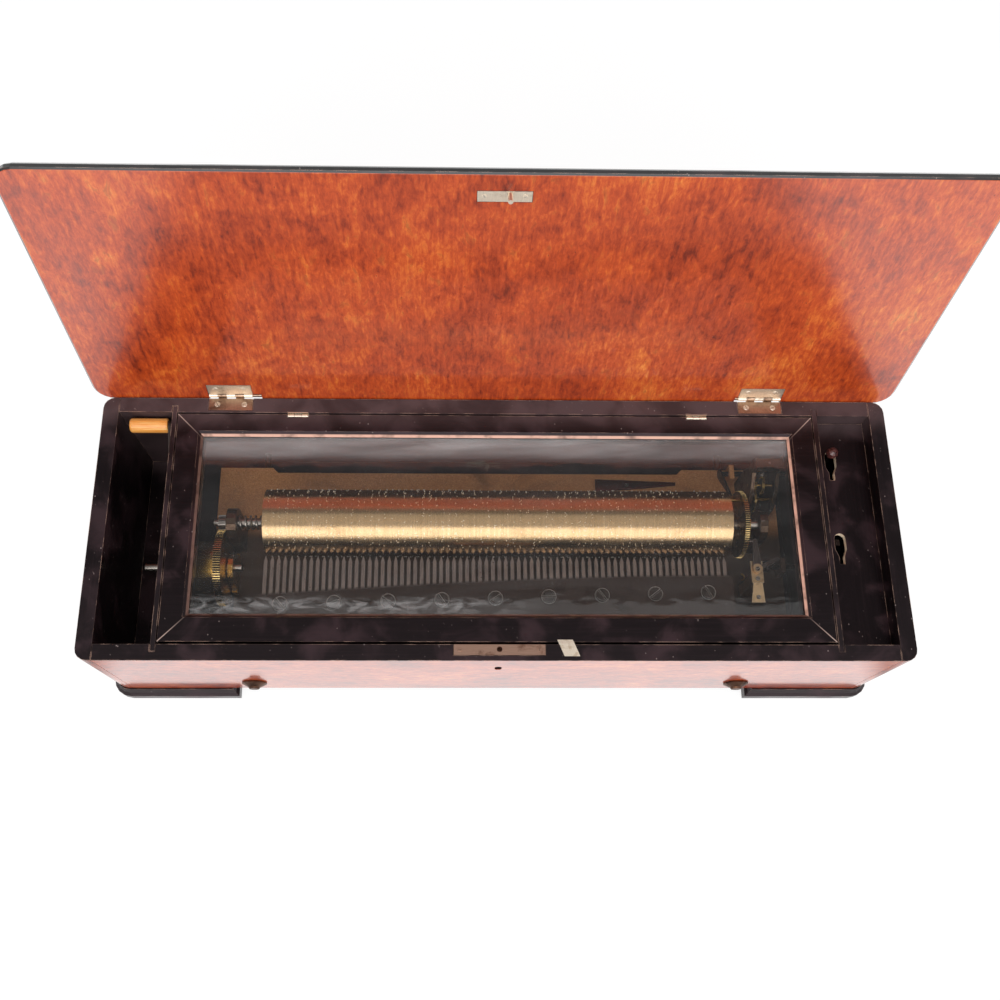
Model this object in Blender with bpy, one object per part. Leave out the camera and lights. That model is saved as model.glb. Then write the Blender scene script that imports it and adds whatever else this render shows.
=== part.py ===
"""A lever-wound cylinder music box with its lid open.

Sizes are in metres. Every place is measured from the middle of the case's rim plane:
x to the right, y to the back, z up. The empty called stand then lifts the whole box
so that its feet rest on z = 0, with the middle of its footprint at the origin.
"""

import math

import bmesh
import bpy
from mathutils import Matrix, Vector

MM = 0.001

# Clearances and the small margins that cutters need
FIT = 0.3 * MM             # between pieces that touch or are let into each other
RUNNING = 0.2 * MM         # round a turning shaft
OVERRUN = 2.0 * MM         # how far a cutter passes the surface that it cuts
WELD = 0.0005 * MM         # points closer than this are one point

# Case
COMPARTMENT_WIDTH = 38.0 * MM
CASE_DEPTH = 191.0 * MM
FLOOR_ROOM = 8.0 * MM
WALL = 11.0 * MM
CORNER_RADIUS = 8.0 * MM
BOTTOM_THICKNESS = 8.0 * MM
GROOVE_DEPTH = 5.0 * MM
PARTITION_THICKNESS = 3.4 * MM
MOVEMENT_END_ROOM = 63.4 * MM
PARTITION_DROP = 0.3 * MM

# Feet
FOOT_HEIGHT = 15.0 * MM
FOOT_LENGTH = 84.0 * MM
FOOT_RETURN = 58.0 * MM
FOOT_THICKNESS = 17.0 * MM
FOOT_PROJECTION = 5.0 * MM
FOOT_PROFILE_SHARES = ((0.0, 0.2), (0.18, 0.28), (0.34, 0.55), (0.46, 1.0), (1.0, 1.0))

# Outer lid, which is drawn closed and turned open about its hinge
LID_OPEN_ANGLE = math.radians(100.5)
LID_THICKNESS = 7.0 * MM
LID_GAP = 0.6 * MM
LID_SIDE_OVERHANG = 5.7 * MM
LID_FRONT_OVERHANG = 6.5 * MM
LID_BACK_OVERHANG = 6.5 * MM
LID_CORNER_RADIUS = 13.0 * MM
LID_EDGE = 4.0 * MM
LID_EDGE_SHARES = ((0.35, 0.0), (0.0, 0.12), (0.0, 0.5), (0.3, 0.83), (1.0, 1.0))

# Outer lid hinges
HINGE_FROM_END = 90.0 * MM
HINGE_WIDTH = 31.0 * MM
HINGE_CASE_LEAF = 9.3 * MM
HINGE_LID_LEAF = 9.9 * MM
LEAF_THICKNESS = 1.2 * MM
KNUCKLE_RADIUS = 1.6 * MM
HINGE_PIN_RADIUS = 0.75 * MM
HINGE_RISE = 1.2 * MM
LEFT_PIN_OVERHANG = 6.0 * MM
RIGHT_PIN_OVERHANG = 2.0 * MM

# Lock in the front board and its catch on the lid
LOCK_WIDTH = 61.0 * MM
LOCK_THICKNESS = 7.2 * MM
LOCK_HEIGHT = 34.0 * MM
CATCH_HOLE_RADIUS = 1.9 * MM
CATCH_HOLE_DEPTH = 10.0 * MM
CATCH_HOLE_FROM_FACE = 3.3 * MM
BOLT_LENGTH = 14.0 * MM
BOLT_HEIGHT = 2.4 * MM
BOLT_THICKNESS = 1.2 * MM
BOLT_DROP = 3.0 * MM
BOLT_TRAVEL = 4.6 * MM
KEYHOLE_WIDTH = 4.8 * MM
KEYHOLE_HEIGHT = 9.8 * MM
KEYHOLE_DROP = 24.4 * MM
KEYHOLE_DEPTH = 5.2 * MM
CATCH_PLATE_WIDTH = 31.0 * MM
CATCH_PLATE_DEPTH = 7.4 * MM
CATCH_PLATE_THICKNESS = 1.2 * MM
CATCH_PLATE_OFFSET = 3.0 * MM
CATCH_PLATE_SETBACK = 2.0 * MM
CATCH_POST_RADIUS = 1.5 * MM
CATCH_POST_LENGTH = 6.6 * MM
CATCH_WINDOW_MARGIN = 0.25 * MM

# Glass inner lid
FRAME_DROP = 0.8 * MM
FRAME_THICKNESS = 13.7 * MM
FRAME_SIDE_MEMBER = 18.5 * MM
FRAME_FRONT_MEMBER = 19.8 * MM
FRAME_BACK_MEMBER = 16.1 * MM
FRAME_SIDE_GAP = 0.6 * MM
FRAME_FRONT_GAP = 1.9 * MM
FRAME_BACK_GAP = 1.1 * MM
FRAME_BEVEL = 3.2 * MM
GLASS_THICKNESS = 2.4 * MM
GLASS_DROP = 4.6 * MM
GLASS_LET_IN = 4.0 * MM
GLASS_HINGE_LEFT_INSET = 87.3 * MM
GLASS_HINGE_RIGHT_INSET = 85.3 * MM
GLASS_HINGE_WIDTH = 14.6 * MM
GLASS_HINGE_HEIGHT = 9.0 * MM
GLASS_LEAF_THICKNESS = 0.6 * MM
GLASS_KNUCKLE_RADIUS = 1.3 * MM
GLASS_PIN_RADIUS = 0.6 * MM
TAB_LEFT = 38.5 * MM
TAB_WIDTH = 10.4 * MM
TAB_LENGTH = 11.4 * MM
TAB_SKEW = 4.6 * MM
TAB_THICKNESS = 0.25 * MM
TAB_LIFT = 0.15 * MM

# Control board over the right-hand compartment and its two levers
BOARD_DROP = 12.5 * MM
BOARD_THICKNESS = 3.5 * MM
SLOT_FROM_PARTITION = 11.0 * MM
SLOT_WIDTH = 8.0 * MM
SLOT_WIDE_LENGTH = 12.0 * MM
SLOT_TAPER_LENGTH = 5.0 * MM
SLOT_NARROW_LENGTH = 5.6 * MM
SLOT_NARROW_WIDTH = 3.7 * MM
CHANGE_SLOT_FRONT = 39.6 * MM
START_SLOT_FRONT = -23.6 * MM
LEVER_STEM_WIDTH = 2.6 * MM
LEVER_STEM_THICKNESS = 4.2 * MM
LEVER_HUB_RADIUS = 4.5 * MM
LEVER_HUB_WIDTH = 6.0 * MM
ROCK_SHAFT_HEIGHT = 10.0 * MM
CHANGE_PIVOT_Y = 63.6 * MM
START_PIVOT_Y = -11.0 * MM
CHANGE_LEVER_LEAN = math.radians(5.3)
START_LEVER_LEAN = math.radians(-6.5)
CHANGE_STEM_ABOVE_BOARD = 4.5 * MM
START_STEM_BELOW_BOARD = 1.0 * MM
KNOB_RADIUS = 4.1 * MM
KNOB_HEIGHT = 8.4 * MM
KNOB_GRIP = 3.0 * MM
ROCK_SHAFT_RADIUS = 2.0 * MM
CHANGE_SHAFT_FROM_CYLINDER = 5.9 * MM
START_SHAFT_FROM_CYLINDER = 32.9 * MM
CHANGE_FINGER_THICKNESS = 1.5 * MM
START_FINGER_THICKNESS = 4.2 * MM
FINGER_WIDTH = 5.0 * MM
CHANGE_FINGER_LENGTH = 36.4 * MM
CHANGE_FINGER_ANGLE = math.radians(138.0)
START_FINGER_LENGTH = 6.4 * MM

# Bedplate
BARREL_BED_GAP = 0.677 * MM
BED_THICKNESS = 10.0 * MM
BED_LEFT_REACH = 45.3 * MM
BED_RIGHT_REACH = 50.9 * MM
BED_BACK = 67.0 * MM
BED_BACK_LUG = 4.0 * MM
BED_BACK_LUG_LEFT_LENGTH = 44.0 * MM
BED_BACK_LUG_RIGHT_LENGTH = 75.0 * MM
BED_LUG_LEFT_REACH = 60.8 * MM
BED_LUG_BACK = 8.0 * MM
BED_LUG_FRONT = -42.0 * MM
SHAFT_LUG_THICKNESS = 3.5 * MM
SHAFT_LUG_WIDTH = 11.0 * MM
SHAFT_LUG_OUTER_FROM_CYLINDER = 45.5 * MM
SHAFT_LUG_INNER_FROM_CYLINDER = 13.3 * MM
SHAFT_LUG_CROWN = 4.5 * MM

# Long bolts that hold the bedplate between the front and back boards
BED_BOLT_LEFT_INSET = 35.0 * MM
BED_BOLT_RIGHT_INSET = 41.0 * MM
BED_BOLT_RADIUS = 2.6 * MM
BED_BOLT_GRIP = 12.0 * MM
WASHER_RADIUS = 9.0 * MM
WASHER_RIM = 0.8 * MM
WASHER_HEIGHT = 3.2 * MM
SCREW_HEAD_RADIUS = 4.4 * MM
SCREW_HEAD_HEIGHT = 1.3 * MM
SCREW_SLOT_WIDTH = 1.1 * MM
SCREW_SLOT_DEPTH = 0.9 * MM

# Cylinder
CYLINDER_OFFSET = 1.2 * MM
CYLINDER_LENGTH = 331.8 * MM
CYLINDER_RADIUS = 24.0 * MM
CYLINDER_WALL = 1.6 * MM
CYLINDER_CAP = 3.0 * MM
CYLINDER_Y = 12.9 * MM
CYLINDER_COVER = 10.0 * MM
PIN_HEIGHT = 0.9 * MM
ARBOR_RADIUS = 3.2 * MM
JOURNAL_RADIUS = 2.4 * MM
ARBOR_LEFT_REACH = 38.3 * MM
ARBOR_RIGHT_REACH = 30.5 * MM
COCK_WIDTH = 22.0 * MM
COCK_FOOT_WIDTH = 30.0 * MM
COCK_FOOT_HEIGHT = 6.0 * MM
COCK_CROWN = 9.0 * MM
LEFT_COCK_FROM_CYLINDER = 28.5 * MM
LEFT_COCK_THICKNESS = 7.2 * MM
RIGHT_COCK_FROM_CYLINDER = 23.9 * MM
RIGHT_COCK_THICKNESS = 5.5 * MM

# Return spring on the arbor, between the left cock and the cylinder
SPRING_WIRE_RADIUS = 0.85 * MM
SPRING_CURLS = 5
SPRING_POINTS = 10
SPRING_CLEARANCE = 0.5 * MM

# Gears: every tooth has the same shares of its pitch and module
TOOTH_TIP_SHARE = 0.22
TOOTH_ROOT_SHARE = 0.5
TOOTH_ADDENDUM_SHARE = 0.8
TOOTH_DEDENDUM_SHARE = 1.0
MESH_CLEARANCE = 0.05 * MM
BARREL_TEETH = 102
BARREL_MODULE = 0.55 * MM
PINION_TEETH = 18
DRIVE_WHEEL_TEETH = 96
DRIVE_WHEEL_MODULE = 0.5 * MM
FIRST_PINION_TEETH = 12
FIRST_WHEEL_TEETH = 48
FIRST_WHEEL_MODULE = 0.4 * MM
SECOND_PINION_TEETH = 10
WORM_WHEEL_TEETH = 24
WORM_WHEEL_MODULE = 0.5 * MM

# Spring barrel and its arbor
BARREL_ANGLE = math.radians(29.0)
BARREL_WHEEL_FROM_CYLINDER = 34.8 * MM
BARREL_WHEEL_WIDTH = 5.2 * MM
BARREL_RADIUS = 19.3 * MM
BARREL_LENGTH = 18.4 * MM
BARREL_WALL = 1.3 * MM
BARREL_COVER = 1.6 * MM
MAINSPRING_TURNS = 6
MAINSPRING_POINTS = 12
MAINSPRING_THICKNESS = 0.6 * MM
MAINSPRING_INNER = 6.2 * MM
WINDING_ARBOR_RADIUS = 4.0 * MM
WINDING_JOURNAL_RADIUS = 3.0 * MM
WINDING_ARBOR_LEFT_REACH = 23.0 * MM
WINDING_ARBOR_FROM_CYLINDER = 19.7 * MM
BARREL_LEFT_BRIDGE_FROM_CYLINDER = 58.7 * MM
BARREL_RIGHT_BRIDGE_FROM_CYLINDER = 28.7 * MM
BRIDGE_THICKNESS = 3.6 * MM
BRIDGE_WIDTH = 24.0 * MM
BRIDGE_CROWN = 7.5 * MM
WHEEL_SLOT_MARGIN = 1.2 * MM

# Ratchet, clicks and winding lever
RATCHET_TEETH = 24
RATCHET_RADIUS = 11.0 * MM
RATCHET_TOOTH_DEPTH = 1.6 * MM
RATCHET_FROM_PARTITION = 7.8 * MM
RATCHET_WIDTH = 3.5 * MM
LEVER_PLATE_FROM_PARTITION = 3.8 * MM
LEVER_PLATE_THICKNESS = 3.0 * MM
LEVER_HUB = 9.0 * MM
LEVER_ARM_WIDTH = 8.0 * MM
GRIP_BACK_GAP = 1.27 * MM
LEVER_ARM_TIP = 4.0 * MM
LEVER_STOWED_ANGLE = math.radians(23.6)
GRIP_LENGTH = 27.0 * MM
GRIP_RADIUS = 5.3 * MM
GRIP_END_SHARES = ((0.0, 0.86), (0.02, 0.96), (0.06, 1.0), (0.94, 1.0), (0.98, 0.96), (1.0, 0.86))
GRIP_SPINDLE_RADIUS = 1.8 * MM
CLICK_WIDTH = 3.4 * MM
CLICK_BOSS = 3.2 * MM
CLICK_PIN_RADIUS = 1.4 * MM
LEVER_CLICK_PIVOT = 21.0 * MM
LEVER_CLICK_TIP_ANGLE = math.radians(50.0)
HOLDING_CLICK_PIVOT = 24.0 * MM
HOLDING_CLICK_PIVOT_ANGLE = math.radians(-50.0)
HOLDING_CLICK_TIP_ANGLE = math.radians(-95.0)

# Comb
COMB_TEETH = 72
COMB_LEFT_INSET = 0.4 * MM
COMB_RIGHT_INSET = 3.1 * MM
COMB_RISE = 1.0 * MM
COMB_TOOTH_THICKNESS = 1.5 * MM
COMB_PLATE_THICKNESS = 3.0 * MM
COMB_PLATE_FRONT = -56.0 * MM
COMB_PLATE_STEP = 3.0 * MM
COMB_END_MARGIN = 5.0 * MM
COMB_BASS_ROOT = -41.3 * MM
COMB_TREBLE_ROOT = -26.6 * MM
COMB_ROOT_CURVE_SHARE = 1.7
COMB_TOOTH_SHARE = 0.56
COMB_POINT = 4.2 * MM
COMB_TIP_GAP = 0.3 * MM
COMB_BASE_FRONT = -60.0 * MM
COMB_BASE_DEPTH = 15.0 * MM
COMB_BASE_FOOT = 8.0 * MM
COMB_BASE_FOOT_HEIGHT = 9.0 * MM

# Drive wheel at the right end of the cylinder, with the tune snail on its stud
DRIVE_WHEEL_FROM_CYLINDER = 8.4 * MM
DRIVE_WHEEL_WIDTH = 3.2 * MM
DRIVE_WHEEL_HUB_RADIUS = 6.0 * MM
DRIVE_PIN_RADIUS = 1.0 * MM
DRIVE_PIN_INSET = 2.0 * MM
DRIVE_PIN_ANGLE = math.radians(46.0)
DRIVE_PIN_REACH = 5.0 * MM
STOP_HOLE_RADIUS = 1.5 * MM
SNAIL_ORBIT = 14.0 * MM
SNAIL_ANGLE = math.radians(-100.0)
SNAIL_STEPS = 6
SNAIL_RADIUS = 5.6 * MM
SNAIL_BORE = 1.3 * MM
SNAIL_STEP = 0.3 * MM
SNAIL_BASE = 1.4 * MM
STAR_RADIUS = 6.6 * MM
STAR_ROOT = 4.6 * MM
STAR_THICKNESS = 1.6 * MM
FEELER_RADIUS = 0.8 * MM
FEELER_ORBIT = 3.6 * MM

# Stop bracket and stop arm, in front of the drive wheel
STOP_PIVOT_FROM_CYLINDER = 20.3 * MM
STOP_PIVOT_Y = -21.7 * MM
STOP_PLATE_WIDTH = 8.6 * MM
STOP_PLATE_LENGTH = 16.0 * MM
STOP_PLATE_RISE = 0.6 * MM
STOP_PLATE_THICKNESS = 2.4 * MM
STOP_POST_WIDTH = 7.0 * MM
STOP_POST_DEPTH = 8.0 * MM
STOP_POST_Y = -27.6 * MM
STOP_TONGUE_LENGTH = 14.0 * MM
STOP_TONGUE_DROP = 3.0 * MM
STOP_TONGUE_NARROW = 6.4 * MM
STOP_TONGUE_WIDE = 9.6 * MM
STOP_TONGUE_THICKNESS = 0.9 * MM
STOP_ARM_THICKNESS = 1.8 * MM
STOP_ARM_WIDTH = 3.0 * MM
STOP_ARM_BOSS = 3.2 * MM
STOP_ARM_REACH = 21.4 * MM
STOP_HOOK_RADIUS = 0.8 * MM
STOP_TAIL_FROM_CYLINDER = 35.2 * MM
STOP_TAIL_RADIUS = 1.2 * MM
STOP_PIVOT_RADIUS = 1.4 * MM

# Governor
GOVERNOR_FROM_CYLINDER = 20.3 * MM
GOVERNOR_WIDTH = 20.2 * MM
GOVERNOR_PLATE = 2.5 * MM
GOVERNOR_BASE = 3.0 * MM
GOVERNOR_FRONT = 28.5 * MM
GOVERNOR_BACK = 59.5 * MM
GOVERNOR_RISE = 21.2 * MM
GOVERNOR_TOP_BAR = 2.6 * MM
GOVERNOR_NECK = 7.6 * MM
GOVERNOR_MARGIN = 6.0 * MM
FIRST_ARBOR_ANGLE = math.radians(-25.0)
SECOND_ARBOR_ANGLE = math.radians(50.0)
GOVERNOR_ARBOR_RADIUS = 1.1 * MM
GOVERNOR_PIVOT_RADIUS = 0.8 * MM
FIRST_PINION_WIDTH = 4.4 * MM
FIRST_WHEEL_INSET = 4.6 * MM
FIRST_WHEEL_WIDTH = 1.2 * MM
SECOND_PINION_WIDTH = 2.6 * MM
WORM_WHEEL_WIDTH = 1.6 * MM
WORM_CORE_RADIUS = 1.2 * MM
WORM_PITCH_RADIUS = 1.7 * MM
WORM_THREAD_RADIUS = 2.05 * MM
WORM_THREAD_ROOT_SHARE = 0.42
WORM_THREAD_TIP_SHARE = 0.2
WORM_TURNS = 5
WORM_POINTS = 11
WORM_MESH_CLEARANCE = 0.15 * MM
FLY_RADIUS = 6.8 * MM
FLY_HEIGHT = 9.0 * MM
FLY_THICKNESS = 0.7 * MM
FLY_DROP = 5.4 * MM

# How many sides the round forms have
FINE_SIDES = 56
DRUM_SIDES = 36
ROUND_SIDES = 20
SMALL_SIDES = 10
SMOOTH_ANGLE = math.radians(35.0)

# Places worked out from the sizes above. Along x the cylinder comes first: the pieces at its ends
# keep their distance from it, the partitions stand round them, and the case is built round those.
CYLINDER_LEFT = CYLINDER_OFFSET - CYLINDER_LENGTH / 2
CYLINDER_RIGHT = CYLINDER_OFFSET + CYLINDER_LENGTH / 2
CYLINDER_Z = -CYLINDER_COVER - CYLINDER_RADIUS
BARREL_CENTRE_DISTANCE = BARREL_MODULE * (BARREL_TEETH + PINION_TEETH) / 2 + MESH_CLEARANCE
BARREL_Y = CYLINDER_Y - BARREL_CENTRE_DISTANCE * math.cos(BARREL_ANGLE)
BARREL_Z = CYLINDER_Z - BARREL_CENTRE_DISTANCE * math.sin(BARREL_ANGLE)
BED_TOP = BARREL_Z - BARREL_RADIUS - BARREL_BED_GAP
PARTITION_FROM_MIDDLE = CYLINDER_LENGTH / 2 + MOVEMENT_END_ROOM
PARTITION_INNER_X = PARTITION_FROM_MIDDLE - PARTITION_THICKNESS / 2
PARTITION_OUTER_X = PARTITION_FROM_MIDDLE + PARTITION_THICKNESS / 2
CASE_WIDTH = 2 * (PARTITION_OUTER_X + COMPARTMENT_WIDTH + WALL)
CASE_HEIGHT = -BED_TOP + BED_THICKNESS + FLOOR_ROOM + BOTTOM_THICKNESS
HALF_WIDTH = CASE_WIDTH / 2
HALF_DEPTH = CASE_DEPTH / 2
INNER_X = HALF_WIDTH - WALL
INNER_Y = HALF_DEPTH - WALL
FLOOR_TOP = -CASE_HEIGHT + BOTTOM_THICKNESS
HINGE_FROM_MIDDLE = HALF_WIDTH - HINGE_FROM_END
HINGE_Y = HALF_DEPTH + KNUCKLE_RADIUS + FIT
HINGE_Z = HINGE_RISE
CATCH_Y = -INNER_Y - CATCH_HOLE_FROM_FACE
FRAME_X = PARTITION_INNER_X - FRAME_SIDE_GAP
FRAME_FRONT_Y = -INNER_Y + FRAME_FRONT_GAP
FRAME_BACK_Y = INNER_Y - FRAME_BACK_GAP
FRAME_TOP = -FRAME_DROP
FRAME_BOTTOM = -FRAME_DROP - FRAME_THICKNESS
OPENING_X = FRAME_X - FRAME_SIDE_MEMBER
OPENING_FRONT_Y = FRAME_FRONT_Y + FRAME_FRONT_MEMBER
OPENING_BACK_Y = FRAME_BACK_Y - FRAME_BACK_MEMBER
GLASS_HINGE_LEFT = -PARTITION_FROM_MIDDLE + GLASS_HINGE_LEFT_INSET
GLASS_HINGE_RIGHT = PARTITION_FROM_MIDDLE - GLASS_HINGE_RIGHT_INSET
GLASS_HINGE_Y = INNER_Y - GLASS_KNUCKLE_RADIUS - FIT
GLASS_HINGE_Z = FRAME_TOP - GLASS_KNUCKLE_RADIUS
SLOT_X = PARTITION_OUTER_X + SLOT_FROM_PARTITION
LEVER_PIVOT_DROP = -BED_TOP - ROCK_SHAFT_HEIGHT
CHANGE_STEM_LENGTH = LEVER_PIVOT_DROP - BOARD_DROP + CHANGE_STEM_ABOVE_BOARD
START_STEM_LENGTH = LEVER_PIVOT_DROP - BOARD_DROP - BOARD_THICKNESS - START_STEM_BELOW_BOARD
CHANGE_SHAFT_INNER_END = CYLINDER_RIGHT + CHANGE_SHAFT_FROM_CYLINDER
START_SHAFT_INNER_END = CYLINDER_RIGHT + START_SHAFT_FROM_CYLINDER
BED_BOTTOM = BED_TOP - BED_THICKNESS
BED_LEFT = CYLINDER_LEFT - BED_LEFT_REACH
BED_RIGHT = CYLINDER_RIGHT + BED_RIGHT_REACH
BED_LUG_LEFT = CYLINDER_LEFT - BED_LUG_LEFT_REACH
BED_BACK_LUG_LEFT_END = BED_LEFT + BED_BACK_LUG_LEFT_LENGTH
BED_BACK_LUG_RIGHT_END = BED_RIGHT - BED_BACK_LUG_RIGHT_LENGTH
BED_BOLT_LEFT = BED_LEFT + BED_BOLT_LEFT_INSET
BED_BOLT_RIGHT = BED_RIGHT - BED_BOLT_RIGHT_INSET
SHAFT_LUG_OUTER_X = CYLINDER_RIGHT + SHAFT_LUG_OUTER_FROM_CYLINDER
SHAFT_LUG_INNER_X = CYLINDER_RIGHT + SHAFT_LUG_INNER_FROM_CYLINDER
BED_BOLT_Z = BED_TOP - BED_THICKNESS / 2
ARBOR_LEFT = CYLINDER_LEFT - ARBOR_LEFT_REACH
ARBOR_RIGHT = CYLINDER_RIGHT + ARBOR_RIGHT_REACH
LEFT_COCK_X = CYLINDER_LEFT - LEFT_COCK_FROM_CYLINDER
RIGHT_COCK_X = CYLINDER_RIGHT + RIGHT_COCK_FROM_CYLINDER
COMB_LEFT = CYLINDER_LEFT + COMB_LEFT_INSET
COMB_RIGHT = CYLINDER_RIGHT - COMB_RIGHT_INSET
COMB_TOP = CYLINDER_Z + COMB_RISE
DRIVE_WHEEL_X = CYLINDER_RIGHT + DRIVE_WHEEL_FROM_CYLINDER
DRIVE_PIN_ORBIT = CYLINDER_RADIUS - CYLINDER_WALL - DRIVE_PIN_RADIUS - DRIVE_PIN_INSET
STOP_PIVOT_X = CYLINDER_RIGHT + STOP_PIVOT_FROM_CYLINDER
STOP_PLATE_TOP = CYLINDER_Z + STOP_PLATE_RISE
STOP_TAIL_X = CYLINDER_RIGHT + STOP_TAIL_FROM_CYLINDER
GOVERNOR_LEFT = CYLINDER_RIGHT + GOVERNOR_FROM_CYLINDER
GOVERNOR_RIGHT = GOVERNOR_LEFT + GOVERNOR_WIDTH
GOVERNOR_TOP = CYLINDER_Z + GOVERNOR_RISE
FIRST_WHEEL_X = GOVERNOR_LEFT + FIRST_WHEEL_INSET
BARREL_WHEEL_X = CYLINDER_LEFT - BARREL_WHEEL_FROM_CYLINDER
BARREL_LEFT_BRIDGE_X = CYLINDER_LEFT - BARREL_LEFT_BRIDGE_FROM_CYLINDER
BARREL_RIGHT_BRIDGE_X = CYLINDER_LEFT - BARREL_RIGHT_BRIDGE_FROM_CYLINDER
WINDING_ARBOR_LEFT = -PARTITION_OUTER_X - WINDING_ARBOR_LEFT_REACH
WINDING_ARBOR_RIGHT = CYLINDER_LEFT - WINDING_ARBOR_FROM_CYLINDER
RATCHET_X = -PARTITION_OUTER_X - RATCHET_FROM_PARTITION
LEVER_PLATE_X = -PARTITION_OUTER_X - LEVER_PLATE_FROM_PARTITION
LEVER_REACH = INNER_Y - GRIP_BACK_GAP - GRIP_RADIUS - BARREL_Y
LEVER_ARM_LENGTH = LEVER_REACH / math.cos(LEVER_STOWED_ANGLE)
BARREL_WHEEL_RADIUS = BARREL_MODULE * (BARREL_TEETH / 2 + TOOTH_ADDENDUM_SHARE)
FIRST_DISTANCE = DRIVE_WHEEL_MODULE * (DRIVE_WHEEL_TEETH + FIRST_PINION_TEETH) / 2 + MESH_CLEARANCE
FIRST_Y = CYLINDER_Y + FIRST_DISTANCE * math.cos(FIRST_ARBOR_ANGLE)
FIRST_Z = CYLINDER_Z + FIRST_DISTANCE * math.sin(FIRST_ARBOR_ANGLE)
SECOND_DISTANCE = FIRST_WHEEL_MODULE * (FIRST_WHEEL_TEETH + SECOND_PINION_TEETH) / 2 + MESH_CLEARANCE
SECOND_Y = FIRST_Y + SECOND_DISTANCE * math.cos(SECOND_ARBOR_ANGLE)
SECOND_Z = FIRST_Z + SECOND_DISTANCE * math.sin(SECOND_ARBOR_ANGLE)
WORM_WHEEL_PITCH_RADIUS = WORM_WHEEL_MODULE * WORM_WHEEL_TEETH / 2
WORM_X = (GOVERNOR_LEFT + GOVERNOR_RIGHT) / 2
WORM_Y = SECOND_Y + WORM_WHEEL_PITCH_RADIUS + WORM_PITCH_RADIUS + WORM_MESH_CLEARANCE
WORM_PITCH = math.pi * WORM_WHEEL_MODULE
SNAIL_Y = CYLINDER_Y + SNAIL_ORBIT * math.cos(SNAIL_ANGLE)
SNAIL_Z = CYLINDER_Z + SNAIL_ORBIT * math.sin(SNAIL_ANGLE)


# Materials

def material(name, colour, roughness, metallic=0.0, clear=False):
    made = bpy.data.materials.new(name)
    made.use_nodes = True
    shader = made.node_tree.nodes["Principled BSDF"]
    shader.inputs["Base Color"].default_value = (*colour, 1.0)
    shader.inputs["Roughness"].default_value = roughness
    shader.inputs["Metallic"].default_value = metallic
    if clear:
        shader.inputs["Transmission Weight"].default_value = 1.0
    return made


# Building blocks

def add_pivot(name, place, parent=None, turn=0.0):
    """An empty on a joint's axis, in rim coordinates, turned about x."""
    pivot = bpy.data.objects.new(name, None)
    bpy.context.scene.collection.objects.link(pivot)
    pivot.parent = parent
    start = Vector(parent["rim_place"]) if parent else Vector()
    pivot.location = Vector(place) - start
    pivot.rotation_euler = (turn, 0.0, 0.0)
    pivot["rim_place"] = place
    return pivot


def add_mesh(name, shape, pivot):
    """An object from a bmesh that is drawn in rim coordinates, with its origin on its pivot."""
    bmesh.ops.remove_doubles(shape, verts=shape.verts, dist=WELD)
    bmesh.ops.recalc_face_normals(shape, faces=shape.faces)
    bmesh.ops.translate(shape, verts=shape.verts, vec=-Vector(pivot["rim_place"]))
    mesh = bpy.data.meshes.new(name)
    shape.to_mesh(mesh)
    shape.free()
    made = bpy.data.objects.new(name, mesh)
    bpy.context.scene.collection.objects.link(made)
    made.parent = pivot
    return made


def make(name, shape, finish, pivot):
    made = add_mesh(name, shape, pivot)
    made.data.materials.append(finish)
    made.data.shade_smooth()
    made.data.set_sharp_from_angle(angle=SMOOTH_ANGLE)
    return made


def combine(target, shape, operation):
    """A Boolean whose other body is hidden from renders."""
    other = add_mesh(target.name + "_tool", shape, target.parent)
    other.hide_render = True
    other.display_type = "WIRE"
    step = target.modifiers.new(operation.title(), "BOOLEAN")
    step.operation = operation
    step.solver = "EXACT"
    step.object = other


def cut(target, shape):
    combine(target, shape, "DIFFERENCE")


def join(target, shape):
    combine(target, shape, "UNION")


def box(low, high):
    """A block between two corners."""
    shape = bmesh.new()
    bmesh.ops.create_cube(shape, size=1.0)
    low, high = Vector(low), Vector(high)
    bmesh.ops.scale(shape, verts=shape.verts, vec=high - low)
    bmesh.ops.translate(shape, verts=shape.verts, vec=(high + low) / 2)
    return shape


def on_axis(axis, across, up, along):
    """A point from its two places in the plane that faces an axis, and its place along it."""
    if axis == "X":
        return Vector((along, across, up))
    if axis == "Y":
        return Vector((across, along, up))
    return Vector((across, up, along))


def plate(outline, axis, low, high):
    """An outline extruded along an axis."""
    shape = bmesh.new()
    start = [shape.verts.new(on_axis(axis, a, b, low)) for a, b in outline]
    face = shape.faces.new(start)
    grown = bmesh.ops.extrude_face_region(shape, geom=[face])
    moved = [v for v in grown["geom"] if isinstance(v, bmesh.types.BMVert)]
    bmesh.ops.translate(shape, verts=moved, vec=on_axis(axis, 0.0, 0.0, high - low))
    return shape


def lofted(rings):
    """A closed body through a stack of rings that have the same number of points."""
    shape = bmesh.new()
    loops = [[shape.verts.new(point) for point in ring] for ring in rings]
    shape.faces.new(loops[0])
    shape.faces.new(loops[-1])
    for lower, upper in zip(loops, loops[1:]):
        for k in range(len(lower)):
            n = (k + 1) % len(lower)
            shape.faces.new((lower[k], lower[n], upper[n], upper[k]))
    return shape


def turned(profile, axis, across, up, sides):
    """A profile of (along, radius) points spun round an axis; closed rings may have a bore."""
    shape = bmesh.new()
    points = [shape.verts.new(on_axis(axis, across + radius, up, along)) for along, radius in profile]
    for first, second in zip(points, points[1:]):
        shape.edges.new((first, second))
    if profile[0][1] > 0 and profile[-1][1] > 0:
        shape.edges.new((points[-1], points[0]))
    bmesh.ops.spin(
        shape,
        geom=shape.verts[:] + shape.edges[:],
        cent=on_axis(axis, across, up, 0.0),
        axis=on_axis(axis, 0.0, 0.0, 1.0),
        angle=math.tau,
        steps=sides,
        use_merge=True,
    )
    return shape


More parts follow.
